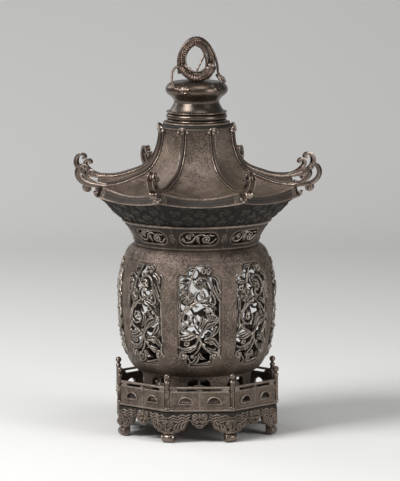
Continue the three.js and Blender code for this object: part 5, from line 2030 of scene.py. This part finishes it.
    def scroll(self) -> list[Skin]:
        """The corner scroll: a tall crescent, a smaller one inside it, their rolled tips, and a snail drum below.

        Returns:
            list[Skin]: the closed parts of one scroll.
        """
        half = self.scroll_width / 2
        tall = ((-0.34, -0.03), (0.0, 0.0), (0.2, 0.03), (0.53, 0.13), (0.77, 0.33), (0.89, 0.58), (0.875, 0.82),
                (0.78, 0.98), (0.62, 1.04), (0.50, 0.99), (0.46, 0.90), (0.51, 0.83), (0.57, 0.88))
        inner = ((-0.46, 0.02), (-0.16, 0.08), (0.10, 0.16), (0.34, 0.34), (0.46, 0.54), (0.42, 0.71),
                 (0.29, 0.77), (0.19, 0.70), (0.20, 0.60), (0.26, 0.59))
        skins = [self.scroll_band(tall, (0.9, 2.4, 2.6, 2.1, 1.6, 1.1),
                                  (half, half, half, half * 0.9, half * 0.75), 90),
                 self.scroll_band(inner, (0.7, 1.7, 2.0, 1.6, 1.1), (half * 0.5, half * 0.9, half * 0.8), 64)]
        for place, size, wide in (((0.52, 0.91), 1.9, 1.9), ((0.26, 0.68), 1.7, 1.9)):
            r, z = self.curl_points(place)[0]
            skins.append(ball((0, -r, z), size, 9, (wide, 1, 1)))
        centre = np.array(self.curl_points((0.44, -0.10))[0])
        skins.append(slab(centre + 4.9 * circle(40), half - 0.9, 0.7))
        f = np.linspace(0, 1, 60)
        wind = math.radians(100) - f * 2 * math.pi * 1.9
        snail = centre + (4.7 - 3.9 * f)[:, None] * np.stack([np.cos(wind), np.sin(wind)], axis=1)
        lip = np.array([(-0.5, -half), (-0.5, half), (0.5, half), (0.5, -half)])
        skins.append(tube(radial(snail), 1.0, lip, (1, 0, 0)))
        return skins

    def hip(self) -> Skin:
        """A hip: a half-round roll between two fillets, a bracket with two balls on top, and its scrolls.

        Returns:
            Skin: the hip on the corner toward -Y.
        """
        turn = np.radians(np.linspace(-12, 192, 13))
        roll = np.stack([1.3 + 2.1 * np.sin(turn), 2.0 * np.cos(turn)], axis=1)
        fillet = np.stack([-0.1 + 0.7 * np.sin(turn[::2]), 0.62 * np.cos(turn[::2])], axis=1)
        section = np.vstack([[(-2.6, 3.4)], fillet + [0, 2.75], roll, fillet - [0, 2.75], [(-2.6, -3.4)]])
        # The fillets get full lift and the roll a low one, so the fillets come out light and the roll darker.
        section_lift = np.concatenate([np.full(8, 1.0), np.full(13, 0.2), np.full(8, 1.0)])
        hip = tube(radial(self.hip_line()), 1.0, section, (1, 0, 0), lift=section_lift)
        skins = [hip, *self.scroll()]
        low_r, low_z = self.eave_corner + 0.6, CREASE + self.band_rise - 9.0
        skins += [ball((x, -low_r, low_z + z), 2.1, 7) for x, z in ((-2.6, 0.8), (2.6, 0.8), (0, -1.9))]
        top_r, top_z = self.hip_line()[0] + (0.4, 4.0)
        bracket = smooth_line([(-5.2, -0.4, -3.6), (-4.6, -1.4, -0.8), (-2.0, -2.6, 0.6), (0, -3.0, 0.9),
                               (2.0, -2.6, 0.6), (4.6, -1.4, -0.8), (5.2, -0.4, -3.6)], 26)
        base = np.array([0, -top_r, top_z])
        skins.append(round_tube(bracket + base, 1.0, (0, 1, 0), 10))
        skins += [ball(base + (x, -1.0, -4.4), 1.9, 8) for x in (-5.6, 5.6)]
        skins.append(round_tube(np.linspace(base + (0, -1.6, -6.0), base + (0, -2.4, 0.4), 8), 1.9, (0, 1, 0), 12))
        skins.append(ball(base + (0, -3.4, -1.6), 1.7, 8, (1.2, 1, 1)))
        return joined(skins)


@dataclass
class Finial:
    """The finial: torus, flange and bell, a cushion-shaped knob, and the coiled dragon that makes the loop."""

    torus_radius: float = 36.6
    loop_half: float = 18.0
    loop_tube: float = 5.2
    coil_radius: float = 19.0
    coil_tube: float = 4.4

    def build(self, maker: Maker) -> None:
        """Makes every piece of the finial.

        Args:
            maker: what makes pieces out of skins.
        """
        maker.one("finial_bell", self.bell(), Body.LID, Finish.SMOOTH, "finial_base")
        maker.one("cushion_knob", self.knob(), Body.LID, Finish.SMOOTH, "finial_knob")
        maker.one("coiled_dragon", self.dragon(), Body.LID, Finish.WARM, "dragon_loop")

    def bell(self) -> Skin:
        """Torus, flange and bell, turned.

        Returns:
            Skin: the closed, turned part.
        """
        z, t = FINIAL_BOTTOM, self.torus_radius
        torus = [[t - 3.6, z], *rounded_corner(t - 1.7, z + 1.2, 1.2, -90, 80, 8), [t - 1.9, z + 2.5],
                 *rounded_corner(t - 3.7, z + 6.2, 3.6, -72, 76, 16), [t - 2.5, z + 9.9]]
        flange = smooth_line([(t - 1.4, z + 10.3), (t - 0.3, z + 10.9), (t, z + 11.6), (t - 0.7, z + 12.2),
                              (t - 2.2, z + 12.5)], 14).tolist()
        bell = smooth_line([(t - 3.6, z + 12.6), (t - 5.4, z + 14.8), (t - 7.2, z + 17.8), (t - 8.6, z + 20.6),
                            (t - 9.6, z + 22.6)], 22).tolist()
        inside = [(t - 12.6, z + 22.6), (t - 12.6, z + 17.6), (t - 5, z + 9), (t - 5, z)]
        return turned_profile(np.array(torus + flange + bell + inside), 144)

    @staticmethod
    def knob_line() -> Array:
        """The knob's outside, from its foot to the axis.

        Returns:
            Array: points (radius, height).
        """
        z, h, r = KNOB_BOTTOM, LOOP_BOTTOM - GAP - KNOB_BOTTOM, 37.3
        return smooth_line([(27, z), (27.8, z + 0.13 * h), (31.6, z + 0.29 * h), (35.6, z + 0.42 * h),
                            (r, z + 0.58 * h), (r - 1.1, z + 0.76 * h), (r - 6, z + 0.93 * h),
                            (r - 13, z + 0.99 * h), (12, z + h), (0, z + h)], 64)

    def knob(self) -> Skin:
        """The cushion-shaped knob with scrolls in low relief by the dragon's tail, and its tenon.

        Returns:
            Skin: the closed knob and tenon.
        """
        line = self.knob_line()
        segments = 160
        angle = whole_turn(segments)
        out = -normals(line)
        x = line[:, :1] * np.sin(angle)[None]
        front = np.cos(angle)[None] > 0
        z = np.broadcast_to(line[:, 1:], x.shape)
        strokes = [spiral(-25.5, 417.0, 3.4, 0.7, 0.6, 1.4, 0.9, 0.7, 30),
                   spiral(-19.0, 414.2, 2.7, 0.6, 2.6, -1.3, 0.8, 0.6, 26),
                   spiral(-16.6, 419.4, 2.8, 0.6, 3.4, 1.3, 0.8, 0.6, 26),
                   spiral(-12.0, 414.8, 2.2, 0.6, 0.4, -1.3, 0.75, 0.6, 24),
                   stroke([(-29, 411.5), (-22, 409.8), (-14, 410.6), (-8, 412.8)], 0.9, 0.5, 1.1, 24),
                   stroke([(22, 420.4), (26, 417.0), (30.5, 412.0)], 1.4, 0.6, 1.6, 20, 0.8),
                   stroke([(27.5, 420.0), (31, 416.6), (34.4, 412.0)], 1.3, 0.6, 1.5, 20, 0.8),
                   stroke([(17, 420.8), (20.5, 417.6), (24, 413.4)], 1.2, 0.5, 1.4, 20, 0.8)]
        tall = stroke_height(x, z, strokes) * front
        rise = 0.9 * tall
        radius, height = line[:, :1] + rise * out[:, :1], line[:, 1:] + rise * out[:, 1:]
        points = swung(radius, angle, height)
        points[-1] = (0, 0, line[-1, 1])
        tenon = np.array([(0, 359.6), (5.4, 359.6), (6, 360.2), (6, KNOB_BOTTOM), (27, KNOB_BOTTOM)])
        stem = turned_profile(tenon, segments, -math.pi / 2)
        return joined([lattice(points, np.clip(0.75 + 0.25 * tall, 0, 1), close_columns=True),
                       lattice(stem.points.reshape(len(tenon), segments, 3), close_columns=True)])

    def scaled_bar(self, line: Array, size: Array | float, up: Sequence[float], closed: bool, step: float = 2.6,
                   sides: int = 28) -> Skin:
        """A round bar in pointed scales: radius + depth * frac(s / step + |2 frac(3 turn) - 1| / 2).

        Args:
            line: points along the bar.
            size: radius at each point.
            up: a direction never along the line.
            closed: whether it returns to its start.
            step: length of a scale.
            sides: points round the bar.

        Returns:
            Skin: the closed bar.
        """
        plain = tube(line, size, circle(sides), up, closed)
        rows = len(plain.points) // sides
        grid = plain.points.reshape(rows, sides, 3)
        centre = grid.mean(axis=1, keepdims=True)
        along = running_length(centre[:, 0])[:, None]
        part = np.arange(sides)[None] / sides * 7
        whole = along[-1, 0] + (np.linalg.norm(centre[0, 0] - centre[-1, 0]) if closed else 0.0)
        fall = along * round(whole / step) / whole + 0.5 * np.abs(2 * (part - np.floor(part)) - 1)
        scale = fall - np.floor(fall)
        away = grid - centre
        length = np.maximum(np.linalg.norm(away, axis=-1, keepdims=True), 1e-6)
        moved = centre + away * (1 + np.minimum(1.15, length * 0.25) * (scale[..., None] - 0.5) / length)
        return Skin(moved.reshape(-1, 3), plain.faces, np.clip(0.35 + 0.65 * scale, 0, 1).reshape(-1))

    def loop_line(self, count: int, inset: float = 0.0) -> Array:
        """The standing loop: a circle drawn to a pear with square feet, in the plane of X and Z.

        Args:
            count: how many points.
            inset: how far inside the loop's middle line.

        Returns:
            Array: closed loop of points in space.
        """
        turn = np.linspace(-math.pi / 2, 1.5 * math.pi, 2001)
        x, y = np.cos(turn), np.sin(turn)
        across = np.where(y < 0, np.sign(x) * np.abs(x) ** 0.45, x * (1 - 0.12 * y)) * (self.loop_half - inset)
        height = LOOP_BOTTOM + 5.7 + 21.7 * (1 + y) - inset * y
        return even_steps(np.stack([across, 0 * x, height], axis=1), count + 1)[:-1]

    def away_from_middle(self, line: Array) -> Array:
        """Unit direction from the loop's middle to each point of a line."""
        away = line - np.array([0.0, 0.0, LOOP_BOTTOM + 30])
        return away / np.linalg.norm(away, axis=1, keepdims=True)

    def strands(self) -> list[Skin]:
        """Scaled strands that cross the loop, lie over the coil and make the tail; their half width runs evenly.

        Returns:
            list[Skin]: the closed strands.
        """
        strands = (
            ([(-20.5, -3, 431), (-21.8, -3, 442), (-20.4, -3, 454), (-14.5, -3, 465), (-6, -3, 471.6),
              (2, -2.5, 472.6)],
             2.1, 1.5),
            ([(5, -4, 471.0), (12, -4.6, 465.0), (17.2, -5, 456), (19.8, -5.4, 445), (18.6, -7, 436)], 1.6, 1.9),
            ([(-2, -3.4, 466.4), (5.4, -4, 462.6), (9.8, -4.2, 455), (12.0, -4.6, 446), (11.4, -6, 437)], 1.9,
             1.8),
            ([(13.6, -1, 464), (18.6, -1.6, 459), (22.2, -2, 450.5), (24.6, -3, 441), (25.4, -4, 433),
              (29, -5, 426)], 1.5, 1.4),
            ([(9.4, -2.6, 453.5), (5.4, -4.6, 446), (1.6, -6.4, 438.4), (-1.4, -8.6, 432)], 1.25, 1.1),
            ([(-17, -9, 439), (-12, -13, 432.6), (-4, -15, 429.6), (4, -15, 430.6), (11.4, -13, 434.6),
              (16.6, -9, 441)],
             1.7, 1.6),
            ([(-14.6, -11, 442), (-9.6, -13.6, 436.6), (-3, -15, 434.0), (4.6, -14.6, 434.8), (9.6, -13.4, 439)],
             1.3, 0.9),
            ([(16.4, -8, 441.4), (17.8, -11.4, 434.4), (15.4, -15.4, 428.6), (12.4, -17.4, 425.4)], 1.5, 1.2),
            ([(-18, -6, 437.6), (-24.6, -8.6, 439.4), (-29.2, -11.4, 434.4), (-30.2, -16, 426.4),
              (-29.2, -21, 420.6), (-26.4, -26.8, 415.6), (-19.4, -31.4, 414.0)], 1.6, 1.0),
        )
        return [self.scaled_bar(smooth_line(points, 60), np.linspace(start, end, 60), (0, 1, 0.3), False, 2.2, 14)
                for points, start, end in strands]

    def claws(self) -> list[Skin]:
        """Three bent claws with a knuckle each, and the round knots over the coil.

        Returns:
            list[Skin]: the closed claws and knots.
        """
        claws = (((24, -6, 430), (27.5, -12, 425.4), (29, -17, 421.6)),
                 ((25, -5, 429.6), (30, -9, 425.4), (33, -12, 420.8)),
                 ((25, -3, 429.6), (31, -3, 425.8), (34.6, -3, 420.4)))
        knots = ((15.4, -9.6, 441.6, 2.6), (19.4, -8.4, 440.6, 2.1), (12.6, -11.8, 438.4, 1.8),
                 (-9, -12.4, 437.4, 2.2), (-13, -12, 440.4, 1.9), (-5.4, -13.4, 434.4, 1.8),
                 (26, -5, 428.6, 2.7), (1.2, -7, 438, 1.6))
        skins = []
        for points in claws:
            line = smooth_line(points, 24)
            skins.append(round_tube(line, 2.0 - 0.8 * np.linspace(0, 1, 24) ** 2, (0, 0.3, 1), 12))
            skins.append(ball(line[12], 2.3, 7))
        return skins + [ball((x, y, z), size, 8) for x, y, z, size in knots]

    def dragon(self) -> Skin:
        """The dragon: a scaled loop with a beaded belly, strands that cross it, a scaled coil, tail and claw.

        Returns:
            Skin: the closed parts of the dragon.
        """
        loop = self.loop_line(220)
        turn = whole_turn(260)
        coil = np.stack([self.coil_radius * np.cos(turn), 1.13 * self.coil_radius * np.sin(turn),
                         LOOP_BOTTOM + 4.4 + 11 * np.cos(turn) ** 2], axis=1)
        thick = self.loop_tube - 1.2 + 1.3 * ridge(loop[:, 0], -7, 12) * (loop[:, 2] > 440)
        loop = loop + (self.loop_tube - 1.5 - thick)[:, None] * self.away_from_middle(loop)
        skins = [self.scaled_bar(loop, thick, (0, 1, 0), True, 2.9),
                 self.scaled_bar(coil, self.coil_tube - 0.5, (0, 0, 1), True, 2.7)]
        belly = self.loop_line(90, self.loop_tube - 1.2)
        for x, y, z in belly:
            if z > 432 and (x < 2 or z > 456):
                skins.append(ball((x, y - 1.8, z), 1.35, 6, (1, 1.2, 1)))
        return joined(skins + self.strands() + self.claws())


@dataclass
class Studio:
    """Plain pale floor, soft lamps, and the camera where the photograph was taken from."""

    azimuth: float = -2.2
    elevation: float = 7.7
    distance: float = 5.4
    target: Place = (0.004, 0.0, 0.2297)
    view_width: float = 0.480
    floor_colour: Colour = (0.93, 0.925, 0.91, 1)
    floor_bounce: Colour = (0.16, 0.15, 0.14, 1)
    world_light: float = 0.13
    world_seen: float = 0.62
    floor_roughness: float = 0.9
    floor_half: float = 5.0
    floor_front: float = -4.0
    bend: float = 1.6
    bend_rise: float = 0.55
    floor_back: float = 4.2
    lamp_aim: Place = (0, 0, 0.25)
    lamp_boxes: tuple[tuple[str, Place, tuple[float, float], float], ...] = (
        ("left", (-1.60, -1.05, 2.05), (1.1, 1.5), 63.0),
        ("right", (1.85, -1.45, 1.05), (1.0, 1.5), 21.0),
        ("top", (0.3, -0.5, 2.4), (1.0, 1.0), 9.0),
        ("back_left", (-1.3, 1.3, 1.3), (0.9, 0.9), 6.0),
    )
    sensor: float = 36.0
    far: float = 50.0

    def build(self) -> None:
        """Makes the floor, the lamps, the world and the camera."""
        self.floor()
        self.lamps()
        self.world()
        self.camera()

    def floor(self) -> None:
        """A wide floor that rises behind the object in one curve: height follows the square of the distance."""
        y = np.concatenate([np.linspace(self.floor_front, self.bend, 30),
                            np.linspace(self.bend + 0.1, self.floor_back, 40)])
        z = np.where(y > self.bend, self.bend_rise * (y - self.bend) ** 2, 0.0)
        x = np.linspace(-self.floor_half, self.floor_half, 21)
        points = np.stack(np.broadcast_arrays(x[None, :], y[:, None], z[:, None]), axis=-1) / MM
        mesh = make_mesh("studio_floor", lattice(points))
        material = bpy.data.materials.new("studio_floor")
        material.use_nodes = True
        graph = Graph(material.node_tree)
        path = graph.add("ShaderNodeLightPath").outputs
        seen = graph.math("ADD", path["Is Camera Ray"], path["Is Glossy Ray"], clamp=True)
        seen = graph.math("ADD", seen, path["Is Transmission Ray"], clamp=True)
        shader = material.node_tree.nodes["Principled BSDF"]
        links = material.node_tree.links
        links.new(graph.mix(seen, self.floor_bounce, self.floor_colour), shader.inputs["Base Color"])
        shader.inputs["Roughness"].default_value = self.floor_roughness
        # The mesh's faces point down, so Backfacing is 1 on the side that the object stands on
        outer = graph.add("ShaderNodeMixShader")
        links.new(graph.add("ShaderNodeNewGeometry").outputs["Backfacing"], outer.inputs[0])
        links.new(shader.outputs[0], outer.inputs[2])
        links.new(graph.add("ShaderNodeBsdfTransparent").outputs[0], outer.inputs[1])
        links.new(outer.outputs[0], material.node_tree.nodes["Material Output"].inputs["Surface"])
        mesh.materials.append(material)
        floor = bpy.data.objects.new("studio_floor", mesh)
        bpy.context.scene.collection.objects.link(floor)

    def lamps(self) -> None:
        """Soft boxes: a tall one at each side in front, one over the top and one behind."""
        for name, place, (wide, tall), power in self.lamp_boxes:
            data = bpy.data.lights.new(name, "AREA")
            data.shape = "RECTANGLE"
            data.size = wide
            data.size_y = tall
            data.energy = power
            lamp = bpy.data.objects.new(name, data)
            lamp.location = place
            aim = Vector(self.lamp_aim) - Vector(place)
            lamp.rotation_euler = aim.to_track_quat("-Z", "Y").to_euler()
            bpy.context.scene.collection.objects.link(lamp)

    def world(self) -> None:
        """An even pale surround."""
        world = bpy.data.worlds.new("studio")
        world.use_nodes = True
        shade = world.node_tree.nodes["Background"]
        shade.inputs["Color"].default_value = (0.9, 0.92, 0.95, 1)
        graph = Graph(world.node_tree)
        path = graph.add("ShaderNodeLightPath").outputs
        seen = graph.math("ADD", path["Is Camera Ray"], path["Is Transmission Ray"], clamp=True)
        strength = graph.math("ADD", graph.math("MULTIPLY", seen, self.world_seen - self.world_light),
                              self.world_light)
        world.node_tree.links.new(strength, shade.inputs["Strength"])
        bpy.context.scene.world = world

    def camera(self) -> None:
        """A long lens level with the vessel, as the photograph's mild perspective shows."""
        data = bpy.data.cameras.new("camera")
        data.sensor_fit = "HORIZONTAL"
        data.sensor_width = self.sensor
        data.lens = self.sensor * self.distance / self.view_width
        data.clip_end = self.far
        camera = bpy.data.objects.new("camera", data)
        a, e = math.radians(self.azimuth), math.radians(self.elevation)
        back = Vector((math.sin(a) * math.cos(e), -math.cos(a) * math.cos(e), math.sin(e)))
        target = Vector(self.target)
        camera.location = target + back * self.distance
        camera.rotation_euler = (-back).to_track_quat("-Z", "Y").to_euler()
        bpy.context.scene.collection.objects.link(camera)
        bpy.context.scene.camera = camera
        bpy.context.scene.view_settings.view_transform = "Standard"


def main() -> None:
    """Builds the burner piece by piece and sets up the studio."""
    logging.basicConfig(level=logging.INFO, format="%(name)s %(message)s")
    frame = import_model()
    materials = make_materials()
    for node in frame["nodes"].values():
        node.data.materials.clear()
        node.data.materials.append(materials[Finish.PITTED])
    maker = Maker(materials)
    for section in (Stand(), Vessel(), AshPan(), Roof(), Finial()):
        section.build(maker)
    LOG.info("%d pieces made", len(maker.made))
    Studio().build()


if __name__ == "__main__":
    main()
